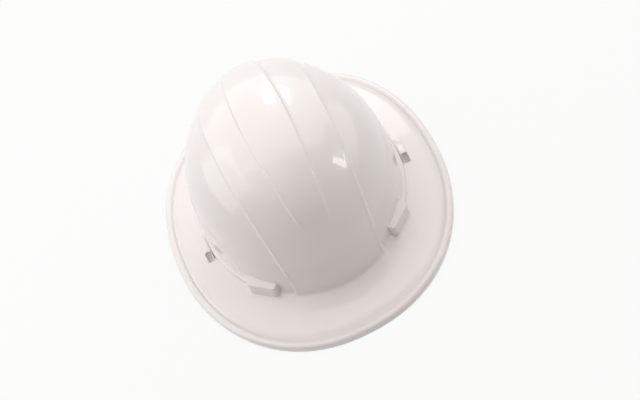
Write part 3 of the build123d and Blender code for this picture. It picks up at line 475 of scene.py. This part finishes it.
lines, start = [], (0.0, 0.0)
for panel in ("middle", "outer"):
    stops = [edge(panel, -LIP_REACH), edge(panel, -STEP_HALF), edge(panel, STEP_HALF)]
    for stop, count in zip(stops, COLUMN_COUNTS[panel]):
        lines += spaced(start, stop, count)
        start = stop
lines.append(start)
columns = [column(*line) for line in lines]
print("columns over the panels", len(columns))

# %% Columns beside the panels
SIDE_COLUMNS = 36
SIDE_SPREAD = radians(49)
turns = np.linspace(FOOT_TURN, pi / 2, PROFILE_POINTS)
profile = np.stack([dome_radius(turns), DOME_RISE * np.sin(turns) ** (2 / TOP_POWER)], -1)
climb = run_along(profile)
last = columns[-1]
start_depth = 1 - np.interp(last[:, 2], turns, climb) / climb[-1]
start_angle = np.arctan2(last[:, 1], last[:, 0])
foot_angle = np.linspace(-SIDE_SPREAD, SIDE_SPREAD, ROWS + 1)
for k in range(1, SIDE_COLUMNS + 1):
    share = k / SIDE_COLUMNS
    depth = start_depth + (1 - start_depth) * share
    angle = start_angle + (foot_angle - start_angle) * share
    turn = np.interp((1 - depth) * climb[-1], climb, turns)
    radius = dome_radius(turn)
    columns.append(np.stack([radius * np.cos(angle), radius * np.sin(angle), turn], -1))
print("columns from the middle to one side", len(columns))


# %% [markdown]
# The steps are raised last: each point grows outwards by two millimetres on the wide panel and by two
# more on the middle one. The middle panel's step fades away low on the front and rear, as the photograph
# shows.

# %% Lay the dome
def panel_growth(points, line):
    """How far a column stands out, for its bow and for each point's height."""
    outer = eased((PANELS["outer"][0] + STEP_HALF - line) / (2 * STEP_HALF))
    middle = eased((PANELS["middle"][0] + STEP_HALF - line) / (2 * STEP_HALF))
    fade = -FADE_SINK + eased((points[:, 2] - FADE_START) / (FADE_END - FADE_START)) * (STEP + FADE_SINK)
    raised = np.maximum(fade, 0)
    beads = [BEAD * np.exp(-((line - PANELS[name][0] + BEAD_IN) / BEAD_WIDE) ** 2)
             for name in ("outer", "middle")]
    return STEP * outer + middle * raised + beads[0] + beads[1] * raised / STEP


laid = []
for number, points in enumerate(columns):
    line = lines[number][0] if number < len(lines) else BOW_REACH
    laid.append(dome_point(points[:, 0], points[:, 1], points[:, 2], panel_growth(points, line)))
mirrored = [points * np.array([-1, 1, 1]) for points in laid[:0:-1]]
shell = lay_grid("shell_moulding", mirrored + laid)
print("dome", len(shell.data.vertices), "points")

# %% [markdown]
# The brim grows from the dome's foot like it would by hand: the boundary loop is extruded, moved
# outwards, extruded again, and so on. Each loop has its own job. The first few turn the soft corner, the
# next ones cross the brim's floor, and the last ones roll over the raised rim and down its edge. A low
# ledge runs round the corner from beside each side slot to the front pocket.

# %% Brim sizes
HALF_W, HALF_L = 140.0, 157.5
BRIM_POWER = 2.18
SIDE_RISE = 5.6
FLARE_OUT = 5.0
ROOT_Z, GUTTER_Z = 7.5, 6.1
LEDGE_FRONT, LEDGE_REAR = -62.0, 9.0
LEDGE_START, LEDGE_FADE = 2.0, 5.0      # half the lengths over which the ledge rises and fades
# the corner and the ledge, as shares of the way out to the corner's end and of the height above it
CORNER = [(0.05, 0.68), (0.17, 0.42), (0.36, 0.22), (0.6, 0.09), (0.8, 0.02), (1.0, 0.0)]
SHELF = [(0.3, 1.02), (0.58, 0.97), (0.82, 0.86), (0.93, 0.66), (0.98, 0.3), (1.0, 0.0)]
FLOOR_SHARES = [0.25, 0.5, 0.75, 1.0]
# the rim, as distance in from the outline and height
RIM = [(8.4, 6.2), (7.7, 6.5), (7.0, 7.0), (6.2, 7.45), (5.2, 7.75), (4.0, 7.9), (2.8, 7.8), (1.7, 7.4),
       (0.85, 6.75), (0.3, 5.9), (0.0, 4.9), (0.0, 3.2), (0.0, 1.5), (0.0, 0.0)]


def side_rise(x):
    return SIDE_RISE * (x / HALF_W) ** 2


def outline(angle, inset):
    """A point of the brim's outline, drawn in by inset square to it."""
    c, s = cos(angle), sin(angle)
    x = HALF_W * abs(c) ** (2 / BRIM_POWER) * (1 if c > 0 else -1)
    y = HALF_L * abs(s) ** (2 / BRIM_POWER) * (1 if s > 0 else -1)
    out = Vector((abs(x / HALF_W) ** (BRIM_POWER - 1) / HALF_W * (1 if x > 0 else -1),
                  abs(y / HALF_L) ** (BRIM_POWER - 1) / HALF_L * (1 if y > 0 else -1)))
    return Vector((x, y)) - out.normalized() * inset


print("brim", 2 * HALF_W, "x", 2 * HALF_L)


# %% One point of each loop
def foot_facts(foot):
    """The angle, the corner's outer end and the gutter for one point of the dome's foot."""
    angle = atan2((foot.y - DOME_BACK) / STRETCH, foot.x)
    gutter = outline(angle, RIM[0][0])
    smooth = Vector((DOME_RX * cos(angle), DOME_BACK + DOME_RY * sin(angle)))
    corner = smooth + (gutter - smooth).normalized() * FLARE_OUT
    return angle, corner, gutter


def corner_point(foot, k):
    corner = foot_facts(foot)[1]
    on_ledge = eased((foot.y - LEDGE_FRONT + LEDGE_START) / (2 * LEDGE_START))
    on_ledge *= eased((LEDGE_REAR + LEDGE_FADE - foot.y) / (2 * LEDGE_FADE))
    out = CORNER[k][0] + (SHELF[k][0] - CORNER[k][0]) * on_ledge
    up = CORNER[k][1] + (SHELF[k][1] - CORNER[k][1]) * on_ledge
    flat = foot.to_2d().lerp(corner, out)
    root = ROOT_Z + side_rise(corner.x)
    return (flat.x, flat.y, root + (foot.z - root) * up)


def floor_point(foot, k):
    corner, gutter = foot_facts(foot)[1:]
    flat = corner.lerp(gutter, FLOOR_SHARES[k])
    level = ROOT_Z + (GUTTER_Z - ROOT_Z) * FLOOR_SHARES[k]
    return (flat.x, flat.y, level + side_rise(flat.x))


def rim_point(foot, k):
    inset, level = RIM[k]
    flat = outline(foot_facts(foot)[0], inset)
    return (flat.x, flat.y, level + side_rise(flat.x))


print("loops", len(CORNER) + len(FLOOR_SHARES) + len(RIM))

# %% Extrude the brim
select_only(shell)
feet = shell.data.attributes.new("foot", "FLOAT_VECTOR", "POINT")
places = np.zeros(len(shell.data.vertices) * 3, np.float32)
shell.data.vertices.foreach_get("co", places)
feet.data.foreach_set("vector", places / MM)
bpy.ops.object.mode_set(mode="EDIT")
bpy.ops.mesh.select_mode(type="EDGE")
bpy.ops.mesh.select_all(action="SELECT")
bpy.ops.mesh.region_to_loop()
loops = [(corner_point, k) for k in range(len(CORNER))]
loops += [(floor_point, k) for k in range(len(FLOOR_SHARES))]
loops += [(rim_point, k) for k in range(1, len(RIM))]
for place_of, k in loops:
    bpy.ops.mesh.extrude_region_move()
    form = bmesh.from_edit_mesh(shell.data)
    foot = form.verts.layers.float_vector["foot"]
    for vertex in form.verts:
        if vertex.select:
            vertex.co = Vector(place_of(vertex[foot], k)) * MM
    bmesh.update_edit_mesh(shell.data)
bpy.ops.mesh.select_all(action="SELECT")
bpy.ops.mesh.normals_make_consistent(inside=False)
bpy.ops.object.mode_set(mode="OBJECT")
print("shell skin", len(shell.data.polygons), "faces")

# %% [markdown]
# So far the shell is a skin. Solidify gives it the wall of the real moulding, inwards from the outer
# face. A bevel rounds the rim's lower edge, and a Boolean cuts the slot that is open below the brim at
# each side. The cutter is a block made from a cube, and the pockets and hoods below start as such blocks
# too.

# %% Shell wall and side slots
WALL, RIM_EDGE = 2.5, 0.7
SLOT_X, SLOT_WIDTH = 104.5, 5.0
SLOT_FRONT, SLOT_LENGTH, SLOT_TOP = -21.0, 22.0, 14.0
SLOT_CUT_LOW = -3.0
SCOOP_SKIN = 2.2

apply_modifier(shell, "SOLIDIFY", thickness=WALL * MM, offset=-1.0, use_even_offset=True)
apply_modifier(shell, "BEVEL", width=RIM_EDGE * MM, segments=3, limit_method="ANGLE",
               angle_limit=radians(60))


def start_block(name, low, high):
    """A cube primitive at its size and place, in millimetres."""
    bpy.ops.mesh.primitive_cube_add(size=1.0)
    piece = bpy.context.object
    piece.name = name
    low, high = Vector(low) * MM, Vector(high) * MM
    piece.location = (low + high) / 2
    piece.scale = high - low
    bpy.ops.object.transform_apply(location=True, rotation=False, scale=True)
    return piece


for slot_x in (-SLOT_X - SLOT_WIDTH, SLOT_X):
    cutter = start_block("slot_cutter", (slot_x, SLOT_FRONT + SCOOP_SKIN, SLOT_CUT_LOW),
                         (slot_x + SLOT_WIDTH, SLOT_FRONT + SLOT_LENGTH, SLOT_TOP))
    apply_modifier(shell, "BOOLEAN", operation="DIFFERENCE", object=cutter, solver="EXACT")
    bpy.data.objects.remove(cutter)
finish_piece(shell, "root", "shell_plastic", smooth_deg=40.0)
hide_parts("shell")


# %% [markdown]
# Four pockets stand out where the dome meets the brim. Each is a block with a flat top that is almost
# level, a tall outer face that leans back, soft upright corners and a finely rounded rim. One block is
# shaped from a cube and copied to the four places. The oval dome falls away faster towards the hat's
# side, so the block's inner edge reaches deeper at that end, and two of the copies are mirrored.

# %% Pockets
LUG_X = 69.0
LUG_Y = DOME_RY * (1 - (LUG_X / DOME_RX) ** 2) ** 0.5
LUG_REACH, LUG_ANGLE = hypot(LUG_X, LUG_Y), atan2(LUG_Y, LUG_X)
LUG_TURNS = {"front_left": (-LUG_ANGLE, 1), "front_right": (LUG_ANGLE - pi, -1),
             "rear_left": (LUG_ANGLE, -1), "rear_right": (pi - LUG_ANGLE, 1)}
POCKET = {"in": -1.2, "slant": 2.3, "out": 8.6, "half": 15.0, "low": 6.8, "front": 22.5, "back": 24.0,
          "lean": 2.0}
POCKET_ROUND, POCKET_EDGE = 4.0, 0.7
NEAR, TOUCH = 1.0, 0.1                  # how close an edge or a face lies to the place it is chosen by


def select_places(piece, kind, test):
    """Selects the vertices, edges or faces whose middle passes a test in millimetres, in edit mode."""
    bpy.ops.object.mode_set(mode="OBJECT")
    select_only(piece)
    bpy.ops.object.mode_set(mode="EDIT")
    bpy.ops.mesh.select_mode(type=kind)
    bpy.ops.mesh.select_all(action="DESELECT")
    bpy.ops.object.mode_set(mode="OBJECT")
    items = {"EDGE": piece.data.edges, "FACE": piece.data.polygons, "VERT": piece.data.vertices}[kind]
    for item in items:
        corners = [piece.data.vertices[k].co for k in item.vertices] if kind != "VERT" else [item.co]
        item.select = bool(test(sum(corners, Vector()) / len(corners) / MM))
    bpy.ops.object.mode_set(mode="EDIT")


def place_copy(source, name, place):
    """A copy with its own mesh, moved by a matrix; a mirrored one's faces are turned outwards again."""
    piece = source.copy()
    piece.data = source.data.copy()
    piece.name = name
    piece.data.transform(place)
    if place.determinant() < 0:
        piece.data.flip_normals()
    bpy.context.scene.collection.objects.link(piece)
    return piece


pocket = start_block("pocket", (POCKET["in"], -POCKET["half"], POCKET["low"]),
                     (POCKET["out"], POCKET["half"], POCKET["back"]))
select_places(pocket, "VERT", lambda p: p.x < POCKET["in"] + TOUCH and p.y > 0)
bpy.ops.transform.translate(value=(-POCKET["slant"] * MM, 0, 0))
select_places(pocket, "EDGE", lambda p: p.z > POCKET["back"] - NEAR and p.x > POCKET["out"] - NEAR)
bpy.ops.transform.translate(value=(-POCKET["lean"] * MM, 0, (POCKET["front"] - POCKET["back"]) * MM))
select_places(pocket, "EDGE", lambda p: p.x > POCKET["out"] - NEAR and abs(p.y) > POCKET["half"] - NEAR)
bpy.ops.mesh.bevel(offset=POCKET_ROUND * MM, segments=6)
select_places(pocket, "FACE", lambda p: p.x < POCKET["in"] + TOUCH or p.z < POCKET["low"] + TOUCH)
bpy.ops.mesh.delete(type="FACE")
bpy.ops.object.mode_set(mode="OBJECT")
apply_modifier(pocket, "BEVEL", width=POCKET_EDGE * MM, segments=3, limit_method="ANGLE",
               angle_limit=radians(40))
print("pocket", len(pocket.data.polygons), "faces")

# %% Place the pockets
for name, (angle, side) in LUG_TURNS.items():
    place = Matrix.Translation((0, DOME_BACK * MM, 0)) @ Matrix.Rotation(angle, 4, "Z")
    place = place @ Matrix.Translation((LUG_REACH * MM, 0, 0)) @ Matrix.Scale(side, 4, (0, 1, 0))
    piece = place_copy(pocket, name + "_pocket", place)
    finish_piece(piece, "root", "shell_plastic", smooth_deg=50.0, flat_faces=True)
bpy.data.objects.remove(pocket)
print("pockets", list(LUG_TURNS))

# %% [markdown]
# Each side slot is covered by a low narrow hood that stands clear of the dome. Its front slopes, and the
# slot's mouth is sunk into that slope; its top runs back and down into the brim. The hood is a cube with
# two cuts across: the front piece is sloped, the rear one is pulled down and drawn in, and then its mouth
# is inset.

# %% Side hoods
HOOD = {"in": 103.2, "out": 110.7, "front": -21.0, "slope": -9.5, "level": 3.0, "rear": 15.0, "top": 16.2,
        "toe": 9.4, "low": 8.0, "taper": 3.6}
HOOD_MIDDLE = (HOOD["in"] + HOOD["out"]) / 2
HOOD_CREST = 4.0                        # edges within this height of the top are rounded
HOOD_ROUND, HOOD_EDGE = 1.5, 0.45
MOUTH_RIM, MOUTH_DEPTH = 0.9, 4.6

hood = start_block("hood", (HOOD["in"], HOOD["front"], HOOD["low"]),
                   (HOOD["out"], HOOD["rear"], HOOD["top"]))
select_places(hood, "EDGE", lambda p: abs(p.y - (HOOD["front"] + HOOD["rear"]) / 2) < NEAR)
bpy.ops.mesh.subdivide(number_cuts=2)
third = (HOOD["rear"] - HOOD["front"]) / 3
for cut, wanted in ((HOOD["front"] + third, HOOD["slope"]), (HOOD["front"] + 2 * third, HOOD["level"])):
    select_places(hood, "VERT", lambda p: abs(p.y - cut) < TOUCH)
    bpy.ops.transform.translate(value=(0, (wanted - cut) * MM, 0))
select_places(hood, "VERT", lambda p: p.y < HOOD["front"] + NEAR and p.z > HOOD["top"] - NEAR)
bpy.ops.transform.translate(value=(0, 0, (HOOD["toe"] - HOOD["top"]) * MM))
select_places(hood, "VERT", lambda p: p.y > HOOD["rear"] - NEAR and p.z > HOOD["top"] - NEAR)
bpy.ops.transform.translate(value=(0, 0, (HOOD["toe"] - HOOD["top"]) * MM))
select_places(hood, "VERT", lambda p: p.y > HOOD["rear"] - NEAR and p.x > HOOD["out"] - NEAR)
bpy.ops.transform.translate(value=(-HOOD["taper"] * MM, 0, 0))
print("hood blocked out")

# %% Round the hood and sink its mouth
select_places(hood, "EDGE", lambda p: p.z > HOOD["top"] - HOOD_CREST and p.y > HOOD["slope"] + TOUCH
              and abs(p.y - HOOD["level"]) > NEAR and abs(p.x - HOOD_MIDDLE) > NEAR)
bpy.ops.mesh.bevel(offset=HOOD_ROUND * MM, segments=4)
select_places(hood, "FACE", lambda p: p.z < HOOD["low"] + TOUCH)
bpy.ops.mesh.delete(type="FACE")
select_places(hood, "FACE", lambda p: HOOD["front"] < p.y < HOOD["slope"] and abs(p.x - HOOD_MIDDLE) < NEAR
              and HOOD["toe"] < p.z < HOOD["top"] - TOUCH)
bpy.ops.mesh.inset(thickness=MOUTH_RIM * MM)
slope_run, slope_rise = HOOD["slope"] - HOOD["front"], HOOD["top"] - HOOD["toe"]
inwards = Vector((0, slope_rise, -slope_run)).normalized() * MOUTH_DEPTH * MM
bpy.ops.mesh.extrude_region_move(TRANSFORM_OT_translate={"value": inwards})
bpy.ops.object.mode_set(mode="OBJECT")
apply_modifier(hood, "BEVEL", width=HOOD_EDGE * MM, segments=2, limit_method="ANGLE",
               angle_limit=radians(40))
for side, name in ((1, "left"), (-1, "right")):
    piece = place_copy(hood, name + "_slot_hood", Matrix.Scale(side, 4, (1, 0, 0)))
    finish_piece(piece, "root", "shell_plastic", smooth_deg=50.0, flat_faces=True)
bpy.data.objects.remove(hood)
print("hoods made")

# %% [markdown]
# The crown straps are flat webbing. Such a strap is a ribbon that follows one line over the head: it
# hangs straight in its key, curves over as half an ellipse and comes down on the other side. Each end is
# rolled into a small hem that can't slip out of the key's window. Its UV map is set in millimetres along
# the line, so that the weave keeps its real size over the whole strap.

# %% Strap sizes
STRAP_IN = 5.6                          # from the dome's outline in to the strap's line
STRAP_REACH = LUG_REACH - STRAP_IN
STRAP_HALF, STRAP_THICK = 10.0, 0.96
STRAP_SPRING_Z, STRAP_CROWN_Z = 26.0, 106.0
STRAP_LIFT = 1.8
STRAP_EDGE = 0.25
HEM_R, HEM_LOW_Z, HEM_DEEP = 1.1, 11.0, 2.5
HANG_RISES = (3.0, 6.0, 9.0, 11.5)      # points on the straight run above the hem
ARCH_STEPS, HEM_STEPS, STRAP_COLUMNS = 90, 8, 15


def arc_points(middle, radius, start, stop, steps):
    turns = np.radians(np.linspace(start, stop, steps + 1))
    return [(middle[0] + radius * cos(turn), middle[1] + radius * sin(turn)) for turn in turns]


def strap_line(lift):
    """The strap's line in its own upright plane, from one hem over the head to the other."""
    top_z = HEM_LOW_Z + 2 * HEM_R
    hem = [(STRAP_REACH - HEM_R, top_z)]
    hem += arc_points((STRAP_REACH - HEM_DEEP, HEM_LOW_Z + HEM_R), HEM_R, 90, 270, HEM_STEPS)
    hem += arc_points((STRAP_REACH - HEM_R, HEM_LOW_Z + HEM_R), HEM_R, 270, 360, HEM_STEPS)
    hem += [(STRAP_REACH, HEM_LOW_Z + HEM_R + rise) for rise in HANG_RISES]
    rise = STRAP_CROWN_Z + lift - STRAP_SPRING_Z
    turns = np.linspace(0, pi, ARCH_STEPS + 1)
    arch = [(STRAP_REACH * cos(turn), STRAP_SPRING_Z + rise * sin(turn)) for turn in turns]
    return np.array(hem + arch + [(-u, z) for u, z in reversed(hem)])


print("strap line", len(strap_line(0.0)), "points")


# %% Crown straps
def lay_strap(name, turn, lift):
    line = strap_line(lift)
    across = np.linspace(-STRAP_HALF, STRAP_HALF, STRAP_COLUMNS)
    columns = [np.stack([line[:, 0] * cos(turn) - offset * sin(turn),
                         DOME_BACK + line[:, 0] * sin(turn) + offset * cos(turn), line[:, 1]], -1)
               for offset in across]
    strap = lay_grid(name, columns)
    along = run_along(line)
    places = strap.data.uv_layers.active.data
    for loop in strap.data.loops:
        row, column_number = divmod(loop.vertex_index, STRAP_COLUMNS)
        places[loop.index].uv = (across[column_number], along[row])
    apply_modifier(strap, "SOLIDIFY", thickness=STRAP_THICK * MM, offset=0.0)
    apply_modifier(strap, "BEVEL", width=STRAP_EDGE * MM, segments=2, limit_method="ANGLE",
                   angle_limit=radians(50))
    finish_piece(strap, "root", "webbing", smooth_deg=50.0)
    print(name, "length", round(along[-1]), "mm")
    return strap


lower_strap = lay_strap("lower_crown_webbing", LUG_ANGLE, 0.0)
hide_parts("lower_crown_strap")
upper_strap = lay_strap("upper_crown_webbing", pi - LUG_ANGLE, STRAP_LIFT)
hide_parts("upper_crown_strap")

# %% [markdown]
# The pads are foam in a sewn cloth cover. Foam pushes the cloth out everywhere except where a seam holds
# it, and that is what a cloth simulation with inner pressure does. The pads are only a few millimetres
# thick, which is too small for the solver's usual settings, so each pad is simulated at twenty times its
# size and brought back. It starts a little thinner than the real pad, and no point may move further than
# a cap.

# %% Padding by simulation
GROW = 20.0
FRAMES = 20
PRESSURE, POINT_MASS = 6.0, 0.03
STRETCH_STIFF, BEND_STIFF = 12.0, 0.5


def points_of(piece):
    places = np.zeros(len(piece.data.vertices) * 3, np.float32)
    piece.data.vertices.foreach_get("co", places)
    return places.reshape(-1, 3).astype(float)


def move_points(piece, places):
    piece.data.vertices.foreach_set("co", np.asarray(places, np.float32).ravel())
    piece.data.update()


def puff(piece, voxel, thinner, cap, seam):
    """Remeshes a pad, holds its seam and lets pressure fill it; the seam test gets millimetres."""
    select_only(piece)
    piece.data.transform(Matrix.Scale(GROW, 4))
    piece.data.remesh_voxel_size = voxel * MM * GROW
    bpy.ops.object.voxel_remesh()
    bpy.ops.object.mode_set(mode="EDIT")
    bpy.ops.mesh.select_all(action="SELECT")
    bpy.ops.transform.shrink_fatten(value=-thinner * MM * GROW)
    bpy.ops.object.mode_set(mode="OBJECT")
    start = points_of(piece)
    held = [k for k, point in enumerate(start / GROW / MM) if seam(point)]
    piece.vertex_groups.new(name="seam").add(held, 1.0, "REPLACE")
    simulate(piece)
    moved = points_of(piece) - start
    length = np.linalg.norm(moved, axis=1, keepdims=True)
    move_points(piece, start + moved * np.minimum(1.0, cap * MM * GROW / np.maximum(length, 1e-9)))
    piece.data.transform(Matrix.Scale(1 / GROW, 4))
    apply_modifier(piece, "SMOOTH", iterations=2, factor=0.5)
    apply_modifier(piece, "SUBSURF", levels=1, render_levels=1)
    print(piece.name, "held", len(held), "of", len(start))


def simulate(piece):
    modifier = piece.modifiers.new("Cloth", "CLOTH")
    cloth = modifier.settings
    cloth.mass = POINT_MASS
    cloth.tension_stiffness = cloth.compression_stiffness = STRETCH_STIFF
    cloth.bending_stiffness = BEND_STIFF
    cloth.use_pressure = True
    cloth.uniform_pressure_force = PRESSURE
    cloth.vertex_group_mass = "seam"
    cloth.effector_weights.gravity = 0.0
    modifier.point_cache.frame_start, modifier.point_cache.frame_end = 1, FRAMES
    for frame_number in range(1, FRAMES + 1):
        bpy.context.scene.frame_set(frame_number)
    select_only(piece)
    bpy.ops.object.modifier_apply(modifier=modifier.name)
    bpy.context.scene.frame_set(1)


print("pads are filled in", FRAMES, "frames")

# %% [markdown]
# Seams need stitches. A stitch is a short thread that dips into the cloth at both ends, so it looks like
# a slim grain lying on the surface. One grain is made from a sphere, copied along each seam and joined
# into one piece.

# %% Stitches
STITCH_LONG, STITCH_WIDE, STITCH_HIGH = 2.4, 0.55, 0.4
STITCH_PITCH = 3.4
STITCH_SINK = 0.45                      # a stitched seam lies this deep in the cushion's face


def sew(name, body, slot, line):
    """Lays stitches along a line of (place, outward normal) pairs in millimetres."""
    bpy.ops.mesh.primitive_uv_sphere_add(segments=8, ring_count=6, radius=0.5)
    grain = bpy.context.object
    places = np.array([place for place, normal in line], float)
    run = run_along(places)
    stitches = []
    for stop in np.arange(STITCH_PITCH / 2, run[-1], STITCH_PITCH):
        k = min(int(np.searchsorted(run, stop)), len(line) - 1)
        share = (stop - run[k - 1]) / max(run[k] - run[k - 1], 1e-9)
        middle = Vector(places[k - 1]).lerp(Vector(places[k]), share)
        along = (Vector(places[k]) - Vector(places[k - 1])).normalized()
        up = Vector(line[k][1])
        side = up.cross(along).normalized()
        turned = Matrix((along * STITCH_LONG, side * STITCH_WIDE, along.cross(side) * STITCH_HIGH))
        place = Matrix.Translation(middle * MM) @ (turned.transposed() * MM).to_4x4()
        stitches.append(place_copy(grain, name, place))
    bpy.data.objects.remove(grain)
    bpy.ops.object.select_all(action="DESELECT")
    for stitch in stitches:
        stitch.select_set(True)
    bpy.context.view_layer.objects.active = stitches[0]
    bpy.ops.object.join()
    seam = bpy.context.object
    seam.name = name
    finish_piece(seam, body, slot, thread, smooth_deg=80.0)


print("stitch", STITCH_LONG, "mm long")

# %% [markdown]
# The crown pad is a round cushion under the crossing of the straps. It is copied from its CAD solid, sewn
# round its rim and once more in a ring, so that it fills out as a disc and a raised border.


# %% Crown pad
def copy_node(node, name):
    """A new object with a merged copy of a CAD node's mesh."""
    piece = bpy.data.objects.new(name, frame["nodes"][node].data.copy())
    piece.data.transform(frame["nodes"][node].matrix_world)
    bpy.context.scene.collection.objects.link(piece)
    select_only(piece)
    bpy.ops.object.mode_set(mode="EDIT")
    bpy.ops.mesh.select_all(action="SELECT")
    bpy.ops.mesh.remove_doubles(threshold=0.001 * MM)
    bpy.ops.object.mode_set(mode="OBJECT")
    return piece


CROWN_PAD_R, CROWN_RING_R = 31.0, 23.0
CROWN_CURVE = STRAP_REACH ** 2 / (STRAP_CROWN_Z - STRAP_SPRING_Z)
CROWN_UNDER_Z = 102.0
CROWN_RIM, CROWN_RING_HALF = 1.6, 0.8
CROWN_FILL = {"voxel": 1.2, "thinner": 0.55, "cap": 0.6}


def crown_seam(point):
    away = hypot(point[0], point[1] - DOME_BACK)
    return away > CROWN_PAD_R - CROWN_RIM or abs(away - CROWN_RING_R) < CROWN_RING_HALF


crown_cushion = copy_node("crown_pad", "crown_cushion")
puff(crown_cushion, seam=crown_seam, **CROWN_FILL)
finish_piece(crown_cushion, "root", "padding", smooth_deg=80.0)
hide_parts("crown_pad")
level = CROWN_UNDER_Z + STITCH_SINK - CROWN_CURVE + (CROWN_CURVE ** 2 - CROWN_RING_R ** 2) ** 0.5
ring = [((CROWN_RING_R * cos(turn), DOME_BACK + CROWN_RING_R * sin(turn), level), (0, 0, -1))
        for turn in np.linspace(0, 2 * pi, 73)]
sew("crown_cushion_stitches", "root", "padding", ring)

# %% [markdown]
# The brow pad is a sweatband: a long cushion that lines the front of the headband, with a thin cover that
# laps over the band's edges. The cushion is a curved sheet with a thickness and is sewn along both long
# edges. The cover's laps are too thin to remesh, so each is a folded ribbon laid on the same arc.

# %% Brow cushion
BROW_R, BROW_BACK, BROW_SPREAD = 68.2, -20.9, 50.0
BROW_LOW, BROW_HIGH = 5.3, 38.7
BROW_THICK = 3.3
BROW_SEAM, BROW_END_DEG = 3.4, 2.4
BROW_FILL = {"voxel": 1.2, "thinner": 0.5, "cap": 0.6}


def brow_place(radius, deg, level):
    """A point on the brow arc: degrees are counted from the middle of the forehead."""
    turn = radians(deg - 90)
    return (radius * cos(turn), BROW_BACK + radius * sin(turn), level)


def brow_seam(point):
    deg = abs(np.degrees(np.arctan2(point[0], BROW_BACK - point[1])))
    at_edge = not BROW_LOW + BROW_SEAM <= point[2] <= BROW_HIGH - BROW_SEAM
    return at_edge or deg > BROW_SPREAD - BROW_END_DEG


levels = np.linspace(BROW_LOW, BROW_HIGH, 30)
arc = np.linspace(-BROW_SPREAD, BROW_SPREAD, 90)
sheet = [[brow_place(BROW_R, deg, level) for level in levels] for deg in arc]
brow_cushion = lay_grid("brow_cushion", sheet)
apply_modifier(brow_cushion, "SOLIDIFY", thickness=BROW_THICK * MM, offset=0.0)
puff(brow_cushion, seam=brow_seam, **BROW_FILL)
finish_piece(brow_cushion, "headband", "padding", smooth_deg=80.0)
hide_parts("brow_pad")

# %% Brow laps and their seams
LAP_OUT_R, LAP_IN_R = 72.3, 67.3
LAP_THICK, LAP_EDGE = 1.0, 0.3
# each edge's height and the way from it to the band's middle
LAP_EDGES = {"lower": (5.2, 1), "upper": (38.8, -1)}
# the fold of a lap as radius and distance from that edge, from the outside round to the inside
LAP_FOLD = [(LAP_OUT_R, 5.4), (LAP_OUT_R, 2.6), (LAP_OUT_R, 0.8), (LAP_OUT_R - 0.25, 0.25),
            (LAP_OUT_R - 0.8, 0.0), (70.0, 0.0), (LAP_IN_R + 1.0, 0.0), (LAP_IN_R + 0.3, 0.3),
            (LAP_IN_R, 1.0), (LAP_IN_R, 2.4)]
LAP_SEAMS = {"outer": (72.8, 1), "inner": (66.95, -1)}  # each seam's radius and the way it faces
LAP_SEAM_UP, LAP_SEAM_END_DEG = 3.6, 2.0

arc = np.linspace(-BROW_SPREAD, BROW_SPREAD, 81)
seam_arc = np.linspace(-BROW_SPREAD + LAP_SEAM_END_DEG, BROW_SPREAD - LAP_SEAM_END_DEG, 60)
for name, (edge_z, away) in LAP_EDGES.items():
    lap = lay_grid(name + "_brow_lap", [[brow_place(radius, deg, edge_z + away * up)
                                         for radius, up in LAP_FOLD] for deg in arc])
    apply_modifier(lap, "SOLIDIFY", thickness=LAP_THICK * MM, offset=0.0)
    apply_modifier(lap, "BEVEL", width=LAP_EDGE * MM, segments=2, limit_method="ANGLE",
                   angle_limit=radians(50))
    finish_piece(lap, "headband", "padding", smooth_deg=60.0)
    for place, (radius, facing) in LAP_SEAMS.items():
        seam = [(brow_place(radius, deg, edge_z + away * LAP_SEAM_UP),
                 (facing * sin(radians(deg)), -facing * cos(radians(deg)), 0)) for deg in seam_arc]
        sew(name + "_brow_" + place + "_stitches", "headband", "padding", seam)
print("sweatband done")

# %% [markdown]
# The nape pad lies on the inside of the ratchet's housing. It is quilted in three by two upright seams,
# which let it bend round the back of the head.

# %% Nape pad
NAPE_BACK, NAPE_Z = 30.0, 22.0
NAPE_IN_R, NAPE_SPREAD, NAPE_HALF = 71.6, 24.6, 13.0
CHANNEL_DEG, CHANNEL_HALF_DEG = 8.5, 0.6
NAPE_END_DEG, NAPE_EDGE, NAPE_SEAM_END = 1.4, 1.8, 2.0
NAPE_FILL = {"voxel": 1.0, "thinner": 0.45, "cap": 0.5}


def nape_place(radius, deg, level):
    turn = radians(90 + deg)
    return (radius * cos(turn), NAPE_BACK + radius * sin(turn), level)


def nape_seam(point):
    deg = abs(np.degrees(np.arctan2(point[0], point[1] - NAPE_BACK)))
    at_end = deg > NAPE_SPREAD - NAPE_END_DEG or abs(point[2] - NAPE_Z) > NAPE_HALF - NAPE_EDGE
    return at_end or abs(deg - CHANNEL_DEG) < CHANNEL_HALF_DEG


nape_cushion = copy_node("nape_pad", "nape_cushion")
puff(nape_cushion, seam=nape_seam, **NAPE_FILL)
finish_piece(nape_cushion, "nape_strap", "padding", smooth_deg=80.0)
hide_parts("nape_pad")
reach = NAPE_HALF - NAPE_SEAM_END
for side, name in ((-1, "left"), (1, "right")):
    deg = side * CHANNEL_DEG
    seam = [(nape_place(NAPE_IN_R + STITCH_SINK, deg, level), (sin(radians(deg)), -1, 0))
            for level in np.linspace(NAPE_Z - reach, NAPE_Z + reach, 12)]
    sew(name + "_nape_stitches", "nape_strap", "padding", seam)
print("nape pad done")
